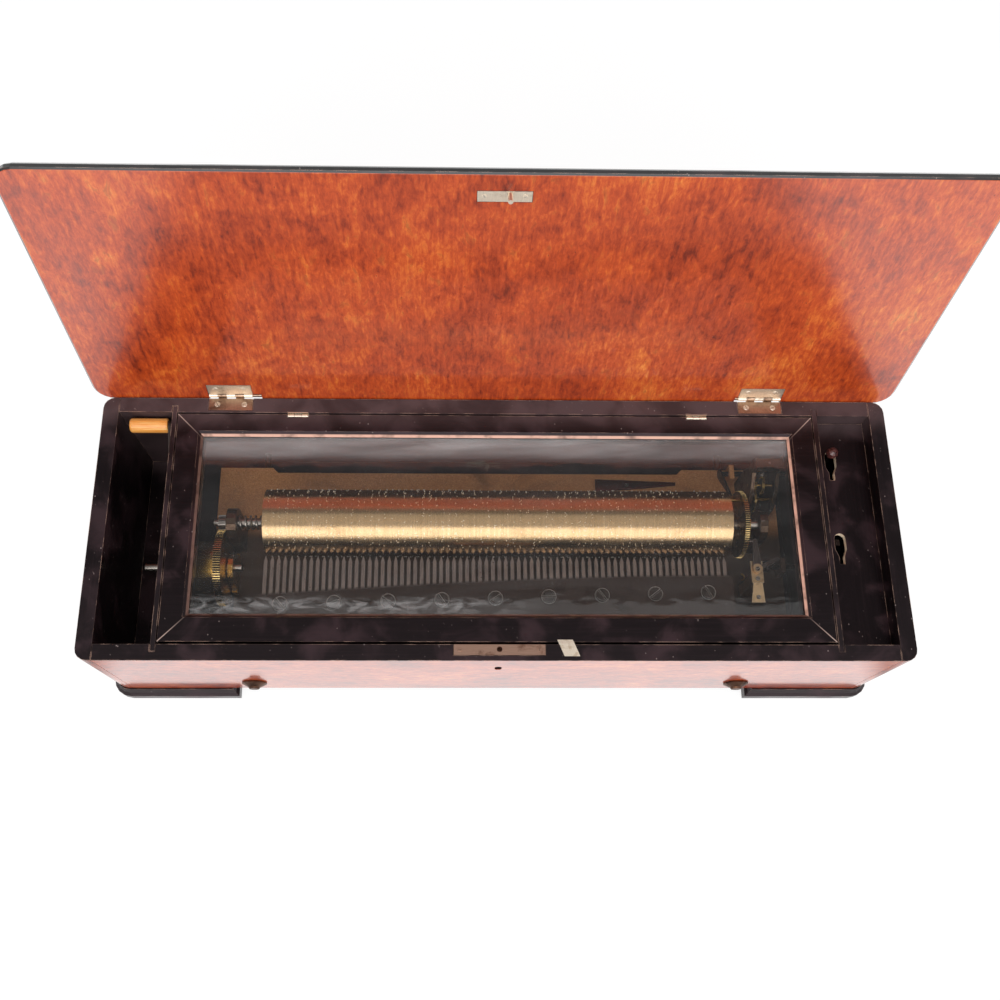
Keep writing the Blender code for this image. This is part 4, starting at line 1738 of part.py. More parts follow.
def settle_on_floor(stand):
    """Moves the box so that its footprint's middle is at the origin and its feet are at z = 0."""
    bpy.context.view_layer.update()
    graph = bpy.context.evaluated_depsgraph_get()
    across = []
    for piece in bpy.data.objects:
        if piece.type != "MESH" or piece.hide_render:
            continue
        seen = piece.evaluated_get(graph)
        across += [(seen.matrix_world @ corner.co).y for corner in seen.data.vertices]
    stand.location = (0.0, -(min(across) + max(across)) / 2, FOOT_HEIGHT + CASE_HEIGHT)
    bpy.context.view_layer.update()


def build():
    clear_scene()
    red_wood = material("red_polished_wood", (0.30, 0.045, 0.02), 0.28)
    ebonised = material("ebonised_wood", (0.014, 0.010, 0.010), 0.38)
    boxwood = material("boxwood", (0.80, 0.42, 0.12), 0.35)
    brass = material("brass", (0.78, 0.58, 0.26), 0.3, 1.0)
    dull_brass = material("dull_brass", (0.32, 0.21, 0.11), 0.45, 1.0)
    steel = material("steel", (0.42, 0.40, 0.38), 0.35, 1.0)
    dark_steel = material("dark_steel", (0.10, 0.085, 0.08), 0.4, 1.0)
    nickel = material("nickel", (0.72, 0.66, 0.55), 0.3, 1.0)
    iron = material("painted_iron", (0.11, 0.05, 0.025), 0.5)
    glass = material("glass", (0.92, 0.95, 0.96), 0.03, 0.0, clear=True)
    card = material("card", (0.85, 0.80, 0.68), 0.8)

    stand = add_pivot("stand", (0.0, 0.0, 0.0))
    lid_pivot = add_pivot("lid_axis", (0.0, HINGE_Y, HINGE_Z), stand, -LID_OPEN_ANGLE)
    glass_pivot = add_pivot("glass_lid_axis", (0.0, GLASS_HINGE_Y, GLASS_HINGE_Z), stand)
    bolt_pivot = add_pivot("lock_bolt_start", (bolt_low_x(), CATCH_Y, -BOLT_DROP), stand)
    change_pivot = add_pivot("change_axis", (SLOT_X, CHANGE_PIVOT_Y, -LEVER_PIVOT_DROP), stand)
    start_pivot = add_pivot("start_axis", (SLOT_X, START_PIVOT_Y, -LEVER_PIVOT_DROP), stand)
    stop_pivot = add_pivot("stop_axis", (STOP_PIVOT_X, STOP_PIVOT_Y, STOP_PLATE_TOP), stand)
    turning = add_pivot("cylinder_axis", (CYLINDER_LEFT, CYLINDER_Y, CYLINDER_Z), stand)
    snail_pivot = add_pivot("snail_axis", (DRIVE_WHEEL_X, SNAIL_Y, SNAIL_Z), turning)
    barrel_pivot = add_pivot("barrel_axis", (BARREL_WHEEL_X, BARREL_Y, BARREL_Z), stand)
    arbor_pivot = add_pivot("winding_axis", (RATCHET_X, BARREL_Y, BARREL_Z), stand)
    lever_place = (LEVER_PLATE_X, BARREL_Y, BARREL_Z)
    lever_pivot = add_pivot("lever_axis", lever_place, stand, LEVER_STOWED_ANGLE)
    click_place = (BARREL_Y + LEVER_CLICK_PIVOT, BARREL_Z)
    click_pivot = add_pivot("lever_click_axis", (RATCHET_X, *click_place), lever_pivot)
    holding_place = holding_click_pivot()
    holding_pivot = add_pivot("holding_click_axis", (RATCHET_X, *holding_place), stand)
    first_pivot = add_pivot("governor_first_axis", (GOVERNOR_LEFT, FIRST_Y, FIRST_Z), stand)
    second_pivot = add_pivot("governor_second_axis", (GOVERNOR_LEFT, SECOND_Y, SECOND_Z), stand)
    fly_pivot = add_pivot("fly_axis", (WORM_X, WORM_Y, GOVERNOR_TOP), stand)

    build_case(stand, red_wood)
    build_partitions(stand, ebonised)
    build_feet(stand, ebonised)
    build_bed_bolts(stand, dull_brass)
    build_lock(stand, bolt_pivot, dull_brass, steel)
    left, right = -HINGE_FROM_MIDDLE, HINGE_FROM_MIDDLE
    overhang = LEFT_PIN_OVERHANG
    build_outer_hinge("left_hinge", left, 0.0, overhang, stand, lid_pivot, nickel)
    overhang = RIGHT_PIN_OVERHANG
    build_outer_hinge("right_hinge", right, overhang, 0.0, stand, lid_pivot, nickel)
    build_lid(lid_pivot, red_wood, steel)
    build_glass_lid(glass_pivot, stand, ebonised, glass, nickel, card)
    build_control_board(stand, ebonised)
    build_control_levers(change_pivot, start_pivot, dark_steel, ebonised)
    build_bedplate(stand, iron)
    build_cylinder_cocks(stand, brass)
    build_barrel_bridges(stand, brass)
    build_comb(stand, steel, brass)
    build_cylinder_arbor(turning, steel)
    build_drive_wheel(turning, brass)
    build_shift_spring(turning, steel)
    build_cylinder(turning, brass)
    build_snail(snail_pivot, steel)
    build_barrel(barrel_pivot, brass, steel)
    build_winding_arbor(arbor_pivot, steel)
    build_winding_lever(lever_pivot, steel, boxwood)
    lever_high = LEVER_PLATE_X + LEVER_PLATE_THICKNESS
    tip = click_tip(LEVER_CLICK_TIP_ANGLE)
    build_click("lever_click", click_pivot, click_place, tip, lever_high, steel)
    tip = click_tip(HOLDING_CLICK_TIP_ANGLE)
    build_click("holding_click", holding_pivot, holding_place, tip, -PARTITION_INNER_X, steel)
    build_stop_bracket(stand, brass)
    build_stop_arm(stop_pivot, steel)
    build_governor_frame(stand, brass)
    build_governor_train(first_pivot, second_pivot, fly_pivot, brass, steel)
    settle_on_floor(stand)

    for pivot in bpy.data.objects:
        if pivot.type == "EMPTY":
            place = pivot.matrix_world.translation
            print(f"{pivot.name}: {place.x:.6f}, {place.y:.6f}, {place.z:.6f}")


build()
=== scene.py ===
# %% [markdown]
# # A lever-wound cylinder music box, seen from above with its lid open
#
# The box's wood, metal and glass bodies come from a CAD model that is loaded as a fixed frame.
# This script gives every one of those bodies its finish, adds the small pieces that a maker fits
# last (screws, two thousand cylinder pins, a cloth pull tab), and sets up a soft studio.
# Each step says first what it is on the real box and why it is made the way it is.

import math
import random

import bmesh
import bpy
from mathutils import Matrix, Vector


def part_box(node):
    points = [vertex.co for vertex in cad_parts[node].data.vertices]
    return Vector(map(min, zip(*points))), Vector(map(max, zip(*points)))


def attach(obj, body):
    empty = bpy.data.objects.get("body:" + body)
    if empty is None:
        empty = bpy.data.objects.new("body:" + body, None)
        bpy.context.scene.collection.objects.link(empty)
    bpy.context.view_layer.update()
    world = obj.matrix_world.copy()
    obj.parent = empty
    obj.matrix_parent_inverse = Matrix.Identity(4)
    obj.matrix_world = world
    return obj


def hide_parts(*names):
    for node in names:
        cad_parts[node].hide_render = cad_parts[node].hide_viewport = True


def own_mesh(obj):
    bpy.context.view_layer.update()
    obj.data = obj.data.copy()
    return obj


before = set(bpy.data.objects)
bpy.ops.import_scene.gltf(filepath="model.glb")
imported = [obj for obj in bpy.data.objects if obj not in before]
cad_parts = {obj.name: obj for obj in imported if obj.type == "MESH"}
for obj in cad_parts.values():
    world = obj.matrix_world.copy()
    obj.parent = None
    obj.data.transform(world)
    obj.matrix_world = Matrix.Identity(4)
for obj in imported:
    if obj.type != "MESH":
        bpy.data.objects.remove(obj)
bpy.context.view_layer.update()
MM = 0.001

# %% [markdown]
# ## A shared ruler
#
# On the bench one would measure everything from the rim of the case, so the script does too.
# The rim's middle is read from the four boards, and `at` turns millimetres from it into a place.

# %% Measure from the rim
front_low, front_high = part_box("front_board")
back_low, back_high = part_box("back_board")
RIM = Vector((0.0, (front_low.y + back_high.y) / 2, front_high.z))
HALF_DEPTH = (back_high.y - front_low.y) / 2
HALF_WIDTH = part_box("right_end_board")[1].x
print("rim plane at", [round(v, 4) for v in RIM], "case", round(2 * HALF_WIDTH, 3), "m long")


def at(x, y, z):
    """A place in millimetres from the middle of the rim, as a point in metres."""
    return RIM + Vector((x, y, z)) * MM


# %% [markdown]
# The lid leans back 10.5 degrees past upright. A second ruler lies on the lid: x along it,
# its own z from the hinge line up to the free edge, and its own y through its thickness.

# %% A ruler on the lid
HINGE_LINE = at(0, 97.4, 1.2)
LID_LEAN = math.radians(10.5)
LID_RULER = Matrix.Translation(HINGE_LINE) @ Matrix.Rotation(-LID_LEAN, 4, "X")
LID_FACE = -0.6
LID_THICKNESS = 7.0
LID_BACK = LID_FACE + LID_THICKNESS
print("lid ruler starts at", [round(v, 4) for v in LID_RULER.translation])

# %% [markdown]
# ## How a finish is put together
#
# A Blender material is a small graph of nodes. Writing every node out would hide the idea, so
# a few short classes keep the graph and offer the moves that a finisher thinks in. Colours are
# written as they look on a screen, and have to be turned into the shader's linear values.

# %% Colours as the eye reads them
def colour(code):
    """A colour written as six hexadecimal digits, turned into the linear values of the shader."""
    parts = [int(code[k:k + 2], 16) / 255 for k in (0, 2, 4)]
    linear = [p / 12.92 if p <= 0.04045 else ((p + 0.055) / 1.055) ** 2.4 for p in parts]
    return (*linear, 1.0)


print("mid red-brown is", [round(v, 3) for v in colour("bb4e2e")])


# %% A graph and its sums
class Graph:
    """A tree of nodes with the coordinates that its patterns lie in."""

    def __init__(self, tree, coordinates):
        self.tree = tree
        self.place = self.node("ShaderNodeTexCoord").outputs[coordinates]

    def node(self, kind, **settings):
        made = self.tree.nodes.new(kind)
        for name, value in settings.items():
            setattr(made, name, value)
        return made

    def feed(self, value, socket):
        """Wires another node's output into a socket, or writes a value or a colour code there."""
        if isinstance(value, bpy.types.NodeSocket):
            self.tree.links.new(value, socket)
        else:
            socket.default_value = colour(value) if isinstance(value, str) else value

    def maths(self, operation, first, second=0.0):
        made = self.node("ShaderNodeMath", operation=operation)
        self.feed(first, made.inputs[0])
        self.feed(second, made.inputs[1])
        return made.outputs[0]

    def times(self, first, *others):
        """A product, which is also how masks are laid over each other."""
        for other in others:
            first = self.maths("MULTIPLY", first, other)
        return first

    def plus(self, first, second):
        return self.maths("ADD", first, second)

    def less(self, first, second):
        return self.maths("SUBTRACT", first, second)

    def most(self, first, second):
        return self.maths("MAXIMUM", first, second)

    def unsigned(self, value):
        return self.maths("ABSOLUTE", value)

    def axes(self, vector=None):
        made = self.node("ShaderNodeSeparateXYZ")
        self.feed(vector or self.place, made.inputs[0])
        return made.outputs

    def fade(self, value, low, high, start=0.0, end=1.0):
        """Smoothly from start to end while value goes from low to high."""
        made = self.node("ShaderNodeMapRange", interpolation_type="SMOOTHSTEP")
        self.feed(value, made.inputs["Value"])
        self.feed(low, made.inputs["From Min"])
        self.feed(high, made.inputs["From Max"])
        self.feed(start, made.inputs["To Min"])
        self.feed(end, made.inputs["To Max"])
        return made.outputs["Result"]

    def choose(self, factor, first, second):
        """The first number where the factor is 0 and the second where it is 1."""
        made = self.node("ShaderNodeMix", data_type="FLOAT")
        for value, socket in ((factor, 0), (first, 2), (second, 3)):
            self.feed(value, made.inputs[socket])
        return made.outputs[0]


print("graph helper ready")

# %% [markdown]
# Patterns come next: cloudy noise of a given size in metres, a ramp of colours, a blend of two
# looks, and a bump of a given depth. The Mapping node is used in its texture mode, where the size
# is the size of the pattern.

# %% Patterns
class Patterns(Graph):
    """A graph that can also draw."""

    def pattern(self, size, turn=(0.0, 0.0, 0.0), start=(0.0, 0.0, 0.0)):
        """Coordinates in which one unit is size metres: one size for all axes, or one for each."""
        made = self.node("ShaderNodeMapping", vector_type="TEXTURE")
        self.feed(self.place, made.inputs["Vector"])
        self.feed(start, made.inputs["Location"])
        self.feed(turn, made.inputs["Rotation"])
        self.feed(size if isinstance(size, tuple) else (size, size, size), made.inputs["Scale"])
        return made.outputs["Vector"]

    def where(self, pattern):
        """A bare size stands for the plain pattern of that size."""
        return pattern if isinstance(pattern, bpy.types.NodeSocket) else self.pattern(pattern)

    def noise(self, pattern, detail=3.0, rough=0.5, twist=0.0):
        """Cloudy noise with blobs about one pattern unit across."""
        made = self.node("ShaderNodeTexNoise")
        self.feed(self.where(pattern), made.inputs["Vector"])
        self.feed(1.0, made.inputs["Scale"])
        self.feed(detail, made.inputs["Detail"])
        self.feed(rough, made.inputs["Roughness"])
        self.feed(twist, made.inputs["Distortion"])
        return made.outputs["Fac"]

    def cells(self, pattern):
        """Distance to scattered points that are about one pattern unit apart."""
        made = self.node("ShaderNodeTexVoronoi")
        self.feed(self.where(pattern), made.inputs["Vector"])
        self.feed(1.0, made.inputs["Scale"])
        return made.outputs["Distance"]

    def ramp(self, factor, stops):
        """Colours along a 0 to 1 factor, given as (place, colour code) pairs."""
        made = self.node("ShaderNodeValToRGB")
        self.feed(factor, made.inputs["Fac"])
        marks = made.color_ramp.elements
        while len(marks) < len(stops):
            marks.new(1.0)
        for mark, (place, code) in zip(marks, stops):
            mark.position = place
            mark.color = colour(code)
        return made.outputs["Color"]

    def blend(self, factor, first, second):
        """The first colour where the factor is 0 and the second where it is 1."""
        made = self.node("ShaderNodeMix", data_type="RGBA")
        for value, socket in ((factor, 0), (first, 6), (second, 7)):
            self.feed(value, made.inputs[socket])
        return made.outputs[2]

    def bump(self, height, depth, under=None):
        """A relief of the given depth in metres, laid over another one if there is one."""
        made = self.node("ShaderNodeBump")
        self.feed(1.0, made.inputs["Strength"])
        self.feed(depth, made.inputs["Distance"])
        self.feed(height, made.inputs["Height"])
        if under:
            self.feed(under, made.inputs["Normal"])
        return made.outputs["Normal"]


print("pattern helper ready")

# %% [markdown]
# Age shows where a thing is touched and where it isn't: sharp edges are rubbed bright. Slots
# and gaps are darkened as painted shade. Both can be read from the shape itself, so a finish finds them
# on any body.

# %% Finishes that know the shape
class Finish(Patterns):
    """One material, with masks that are found from the shape that wears it."""

    def __init__(self, name, metallic=0.0, roughness=0.5):
        self.material = bpy.data.materials.new(name)
        self.material.use_nodes = True
        super().__init__(self.material.node_tree, "Object")
        self.shader = self.tree.nodes["Principled BSDF"]
        self.set("Metallic", metallic)
        self.set("Roughness", roughness)

    def set(self, name, value):
        self.feed(value, self.shader.inputs[name])

    def over(self, mask, code):
        """Lays one more colour over the base colour where the mask is 1."""
        under = self.shader.inputs["Base Color"].links[0].from_socket
        self.set("Base Color", self.blend(mask, under, code))

    def show_instead(self, where, other):
        """Another shader takes the place of the main one where the mask is 1."""
        either = self.node("ShaderNodeMixShader")
        for value, socket in ((where, 0), (self.shader.outputs[0], 1), (other, 2)):
            self.feed(value, either.inputs[socket])
        self.feed(either.outputs[0], self.tree.nodes["Material Output"].inputs["Surface"])

    def facing(self):
        """The direction in which the true surface faces."""
        return self.node("ShaderNodeNewGeometry").outputs["Normal"]

    def worn_edges(self, radius, low, high):
        """1 along sharp outer edges: the Bevel node's rounded normal leaves the true one there."""
        rounded = self.node("ShaderNodeBevel", samples=6)
        self.feed(radius, rounded.inputs["Radius"])
        both = self.node("ShaderNodeVectorMath", operation="DOT_PRODUCT")
        self.feed(rounded.outputs["Normal"], both.inputs[0])
        self.feed(self.facing(), both.inputs[1])
        return self.fade(self.less(1.0, both.outputs["Value"]), low, high)

    def crevice_shade(self, reach, open_side, closed_side):
        """1 in slots and between teeth, where little of the sky is left open within the reach: the mask
        for painted shade.
        """
        sky = self.node("ShaderNodeAmbientOcclusion", samples=6, only_local=True)
        self.feed(reach, sky.inputs["Distance"])
        return self.fade(sky.outputs["AO"], open_side, closed_side)

    def away(self, middle, across=(0.0, 1.0, 1.0)):
        """The vector out from an axis through middle, and its length; across zeroes the axis."""
        vector = self.place
        for operation, second in (("SUBTRACT", tuple(middle)), ("MULTIPLY", across)):
            made = self.node("ShaderNodeVectorMath", operation=operation)
            self.feed(vector, made.inputs[0])
            self.feed(second, made.inputs[1])
            vector = made.outputs[0]
        length = self.node("ShaderNodeVectorMath", operation="LENGTH")
        self.feed(vector, length.inputs[0])
        return vector, length.outputs["Value"]


print("finish helper ready")

# %% [markdown]
# ## Ebonised wood
#
# The rim, the partitions, the frame of the glass lid and the feet are a plain hardwood stained
# black and rubbed with polish. After a century it is never pure black: it has a warm or purple
# cast, brushed marks along the grain, grey dust and rubs, and its sharp edges have worn
# back to brown wood. Near the back wall the grey is dust and also a painted sheen, the grey
# reflection of the satin black there. The edge wear comes from the Bevel node, so it follows any shape.

# %% The ebonised layer
def ebony_layer(finish, size, turn=(0.0, 0.0, 0.0)):
    """Colour, roughness and relief of worn ebonised wood whose grain runs along the long size."""
    grain = finish.noise(finish.pattern(size, turn), detail=5.0, rough=0.65)
    clouds = finish.noise(0.03, detail=4.0, twist=0.5)
    dark = finish.ramp(grain, ((0.3, "080506"), (0.55, "0e090b"), (0.75, "1a1214")))
    dark = finish.blend(finish.fade(clouds, 0.46, 0.68, 0.0, 0.7), dark, "3a2a2e")
    # Near the back wall and below the rim, grey 5d4c4d is laid over the black: dust and a painted
    # sheen, the grey reflection of satin black.
    behind = finish.fade(finish.axes()[1], RIM.y + 0.068, RIM.y + 0.088, 0.0, 0.8)
    behind = finish.times(behind, finish.fade(finish.axes()[2], RIM.z + 0.02, RIM.z + 0.01))
    dust_and_sheen = finish.times(behind, finish.fade(clouds, 0.3, 0.6, 0.5, 1.0))
    dark = finish.blend(dust_and_sheen, dark, "5d4c4d")
    edge = finish.worn_edges(0.0009, 0.04, 0.18)
    rubbed = finish.noise(0.009, detail=5.0)
    edge = finish.times(edge, finish.fade(rubbed, 0.44, 0.6, 0.1, 1.0))
    dark = finish.blend(edge, dark, "b0907f")
    scrape = finish.noise(finish.pattern((0.0015, 0.006, 0.002), (0.3, 0.2, 0.6)), detail=2.0)
    scrape = finish.times(finish.fade(scrape, 0.7, 0.78), finish.fade(rubbed, 0.52, 0.64))
    dark = finish.blend(finish.times(scrape, 0.6), dark, "a4938f")
    chips = finish.fade(finish.cells((0.004, 0.0055, 0.004)), 0.12, 0.05)
    where = finish.fade(finish.noise(0.022, 4.0, 0.7), 0.51, 0.6)
    dark = finish.blend(finish.times(finish.times(chips, where), 0.55), dark, "bcaaa6")
    rough = finish.fade(clouds, 0.3, 0.7, 0.3, 0.5)
    return dark, rough, grain


def rubbed(finish, base, rough, shine, coat=0.1, coat_rough=0.16):
    """A hand-rubbed surface: its shine has the faint pink of old polish under a thin clear coat."""
    finish.set("Base Color", base)
    finish.set("Roughness", rough)
    finish.set("Specular IOR Level", shine)
    finish.set("Specular Tint", "f4d9e0")
    finish.set("Coat Weight", coat)
    finish.set("Coat Roughness", coat_rough)


def ebony(name, size):
    finish = Finish(name)
    dark, rough, grain = ebony_layer(finish, size)
    rubbed(finish, dark, rough, 0.5)
    finish.set("Normal", finish.bump(grain, 0.00012))
    return finish


ALONG_X = (0.05, 0.0014, 0.0014)
ALONG_Y = (0.0014, 0.05, 0.0014)
ebony_x = ebony("ebonised along the box", ALONG_X)
ebony_y = ebony("ebonised across the box", ALONG_Y)
print("ebonised finishes:", ebony_x.material.name, "and", ebony_y.material.name)

# %% [markdown]
# The frame of the glass lid needs two things more. Its inner bevels were once gilded and are now
# worn to a coppery pink, most at the back and the right: a bevel is any face that tilts, so the
# direction of the surface finds it. And its corners are mitred, so a fine pale line of
# opened glue runs across each of them, along the line where the end distances are equal.

# %% The glass lid's frame
FRAME_END = 227.0 * MM
FRAME_FRONT = RIM.y - 82.6 * MM
FRAME_BACK = RIM.y + 83.4 * MM
FRAME_BORDER = 18.0 * MM


def frame_finish():
    finish = Finish("ebonised frame with worn bevels")
    dark, rough, grain = ebony_layer(finish, ALONG_X)
    side = finish.axes(finish.facing())
    tilted = finish.times(finish.fade(side[2], 0.4, 0.6), finish.fade(side[2], 0.93, 0.85))
    bright = finish.fade(finish.plus(side[0], side[1]), 0.2, -0.4, 0.2, 1.0)
    patchy = finish.fade(finish.noise(0.01, 4.0), 0.3, 0.55, 0.35, 1.0)
    gilt = finish.times(tilted, bright, patchy)
    x, y, z = finish.axes()
    low_part = finish.fade(z, RIM.z - 0.0022, RIM.z - 0.0028)
    dark = finish.blend(finish.times(gilt, low_part), dark, "e0b09c")
    from_end = finish.less(FRAME_END, finish.unsigned(x))
    from_front = finish.less(y, FRAME_FRONT)
    from_back = finish.less(FRAME_BACK, y)
    off_mitre = finish.less(from_end, finish.maths("MINIMUM", from_front, from_back))
    mitre = finish.fade(finish.unsigned(off_mitre), 0.0007, 0.0002)
    mitre = finish.times(mitre, finish.fade(from_end, FRAME_BORDER, 0.001, 0.15, 1.0))
    dark = finish.blend(finish.times(mitre, 0.8), dark, "c7aea2")
    rubbed(finish, dark, rough, 0.3)
    finish.set("Normal", finish.bump(grain, 0.0001))
    return finish


worn_frame = frame_finish()
print("made", worn_frame.material.name)

# %% [markdown]
# ## French-polished veneer
#
# The lid and the outside of the case are a thin red-brown veneer under many rubbed coats of
# shellac. Three sizes of pattern make it: broad clouds of light and dark, fine streaks along the
# grain, and small dark pores and dents. The shellac is the shader's coat: a clear, smooth layer
# over a rougher wood, which gives the soft glare and the sharper shine on top of it.

# %% The veneer layer
def veneer_layer(finish, along, across, depth, turn=(0.0, 0.0, 0.0), start=(0.0, 0.0, 0.0)):
    """Colour and relief of the veneer: sizes of its streaks along and across the grain."""
    streak = finish.noise(finish.pattern((across, depth, along), turn, start), 6.0, 0.62, 0.25)
    fine = finish.noise(finish.pattern((across / 4, depth, along / 4), turn, start), 3.0, 0.6)
    clouds = finish.noise(finish.pattern((0.06, 0.06, 0.075), turn, start), 4.0, 0.6, 0.9)
    patches = finish.noise(finish.pattern((0.009, 0.012, 0.016), turn, start), 6.0, 0.68, 0.8)
    mottle = finish.noise(finish.pattern((0.0026, 0.006, 0.0075), turn, start), 4.0, 0.7, 0.4)
    mixed = finish.times(streak, 0.14)
    for part, share in ((clouds, 0.32), (patches, 0.28), (mottle, 0.26)):
        mixed = finish.plus(mixed, finish.times(part, share))
    stops = ((0.39, "6f220e"), (0.46, "a23915"), (0.52, "c24c1c"), (0.58, "d96a28"), (0.64, "ee923e"))
    wood = finish.ramp(mixed, stops)
    wood = finish.blend(finish.fade(patches, 0.55, 0.68, 0.0, 0.5), wood, "7a2a12")
    wood = finish.blend(finish.fade(fine, 0.56, 0.7, 0.0, 0.2), wood, "7c2c14")
    pores = finish.cells(finish.pattern((0.0035, 0.0035, 0.008), turn, start))
    pores = finish.fade(pores, 0.12, 0.05, 0.0, 1.0)
    rare = finish.fade(finish.noise(0.012), 0.55, 0.62)
    pores = finish.times(pores, rare)
    wood = finish.blend(finish.times(pores, 0.7), wood, "3a140c")
    relief = finish.less(finish.times(fine, 0.3), pores)
    return wood, relief, clouds


print("veneer layer ready")

# %% [markdown]
# The lid's own axes lean with it, so the Mapping node is turned by the same angle and the grain
# runs from the hinges up to the free edge. Only the moulded edge of the lid is ebonised: how deep
# a point lies in the lid's thickness, read on the lid's ruler, says where the veneer stops.

# %% The lid's finish
def lid_finish():
    finish = Finish("polished lid")
    turn = (-LID_LEAN, 0.0, 0.0)
    start = tuple(LID_RULER.translation)
    wood, relief, clouds = veneer_layer(finish, 0.05, 0.0028, 0.01, turn, start)
    dark = ebony_layer(finish, ALONG_X, turn)[0]
    through = finish.axes(finish.pattern(1.0, turn, start))[1]
    inner = finish.fade(through, (LID_FACE + 0.2) * MM, (LID_FACE + 0.1) * MM)
    outer = finish.fade(through, (LID_BACK - 0.2) * MM, (LID_BACK - 0.1) * MM)
    veneered = finish.most(inner, outer)
    finish.set("Base Color", finish.blend(veneered, dark, wood))
    finish.set("Roughness", finish.fade(clouds, 0.3, 0.7, 0.34, 0.5))
    finish.set("Specular IOR Level", 0.25)
    finish.set("Coat Weight", 0.85)
    finish.set("Coat Roughness", 0.16)
    waves = finish.noise(finish.pattern((0.06, 0.06, 0.09), turn, start), 2.0)
    finish.set("Normal", finish.bump(relief, 0.00008, finish.bump(waves, 0.0022)))
    return finish


polished_lid = lid_finish()
print("made", polished_lid.material.name)

# %% [markdown]
# The case boards are one body each, red outside and black inside and on the rim. A mask splits
# them: it is the distance from a rounded rectangle a little inside the case's outer faces.

# %% The case's finish
CASE_CORNER = 8.0 * MM


def case_finish(name, size, along_x):
    finish = Finish(name)
    turn = (0.0, math.radians(90), 0.0) if along_x else (math.radians(90), 0.0, 0.0)
    wood, relief = veneer_layer(finish, 0.07, 0.0028, 0.0028, turn)[:2]
    dark, rough, grain = ebony_layer(finish, size)
    x, y, z = finish.axes()
    across = finish.less(finish.unsigned(x), HALF_WIDTH - CASE_CORNER)
    deep = finish.unsigned(finish.less(y, RIM.y))
    deep = finish.less(deep, HALF_DEPTH - CASE_CORNER)
    across = finish.most(across, 0.0)
    deep = finish.most(deep, 0.0)
    squared = finish.plus(finish.times(across, across), finish.times(deep, deep))
    outside = finish.fade(finish.maths("SQRT", squared), CASE_CORNER - 0.6 * MM, CASE_CORNER - 0.2 * MM)
    below = finish.fade(finish.less(RIM.z, z), 0.0004, 0.0012)
    skin = finish.times(outside, below)
    either_rough = finish.blend(skin, rough, (0.3, 0.3, 0.3, 1.0))
    coat = finish.fade(skin, 0.0, 1.0, 0.1, 1.0)
    rubbed(finish, finish.blend(skin, dark, wood), either_rough, 0.4, coat, 0.12)
    finish.set("Normal", finish.bump(relief, 0.00005, finish.bump(grain, 0.00008)))
    return finish


case_long = case_finish("case boards along the box", ALONG_X, True)
case_short = case_finish("case boards across the box", ALONG_Y, False)
print("made", case_long.material.name, "and", case_short.material.name)

# %% [markdown]
# ## Boxwood
#
# The winding lever's grip is turned from boxwood: hard, pale and polished to an orange-yellow,
# with very fine grain along its length and a few darker patches from handling.

# %% Boxwood
def boxwood_finish():
    finish = Finish("turned boxwood")
    grain = finish.noise((0.02, 0.0009, 0.0009), 4.0, 0.6, 0.3)
    clouds = finish.noise((0.009, 0.006, 0.006), 3.0)
    wood = finish.ramp(grain, ((0.3, "ea8a34"), (0.5, "ffae54"), (0.7, "ffcb7e")))
    wood = finish.blend(finish.fade(clouds, 0.58, 0.78, 0.0, 0.4), wood, "c46c2c")
    finish.set("Base Color", wood)
    finish.set("Roughness", 0.3)
    finish.set("Coat Weight", 0.6)
    finish.set("Coat Roughness", 0.08)
    finish.set("Normal", finish.bump(grain, 0.00006))
    return finish


boxwood = boxwood_finish()
print("made", boxwood.material.name)

# %% [markdown]
# The small knob of the change lever is horn or dyed wood of a dark ox-blood red, with a shine.

# %% The knob
def knob_finish():
    finish = Finish("ox-blood knob", roughness=0.28)
    swirl = finish.noise((0.003, 0.003, 0.002), 4.0, 0.6, 0.8)
    finish.set("Base Color", finish.ramp(swirl, ((0.35, "2c1413"), (0.65, "6b3a36"))))
    finish.set("Coat Weight", 0.5)
    return finish


oxblood = knob_finish()
print("made", oxblood.material.name)

# %% [markdown]
# ## Metals
#
# All the metals share one recipe, because real ones differ in only a few ways: the colour of the
# clean metal, the colour of its tarnish and how far it has spread, and the size and direction of
# the marks that the file or the lathe left. The marks change the roughness as well as the relief,
# which is what makes a highlight break up into streaks. Slots and gaps between teeth are darkened
# as painted shade, and cloths keep the edges bright, so each metal is darkened and brightened there.

# %% One recipe for every metal
def metal(name, clean, tarnish, spread, rough, marks, bright=None, shine=0.7):
    """A metal: colours, share that is tarnished, roughness, size of its tool marks, rubbed edges."""
    finish = Finish(name, metallic=1.0)
    cut = finish.noise(marks, 3.0, 0.6)
    clouds = finish.noise(0.012, 5.0, 0.65, 0.4)
    stained = finish.fade(clouds, 0.75 - spread * 0.5, 0.9 - spread * 0.35)
    body = finish.blend(finish.fade(cut, 0.35, 0.75, 0.0, 0.2), clean, tarnish)
    body = finish.blend(finish.times(stained, 0.85), body, tarnish)
    # Painted shade: slots and gaps are darkened to near black 120c09.
    slot_shade = finish.crevice_shade(0.0016, 0.75, 0.35)
    body = finish.blend(finish.times(slot_shade, 0.9), body, "120c09")
    edge = finish.worn_edges(0.0005, 0.04, 0.2)
    body = finish.blend(finish.times(edge, shine), body, bright or clean)
    finish.set("Base Color", body)
    scored = finish.fade(cut, 0.3, 0.7, 0.0, 0.05)
    dulled = finish.fade(stained, 0.0, 1.0, 0.0, 0.12)
    finish.set("Roughness", finish.plus(finish.plus(scored, dulled), rough))
    finish.set("Normal", finish.bump(cut, 0.00001))
    return finish


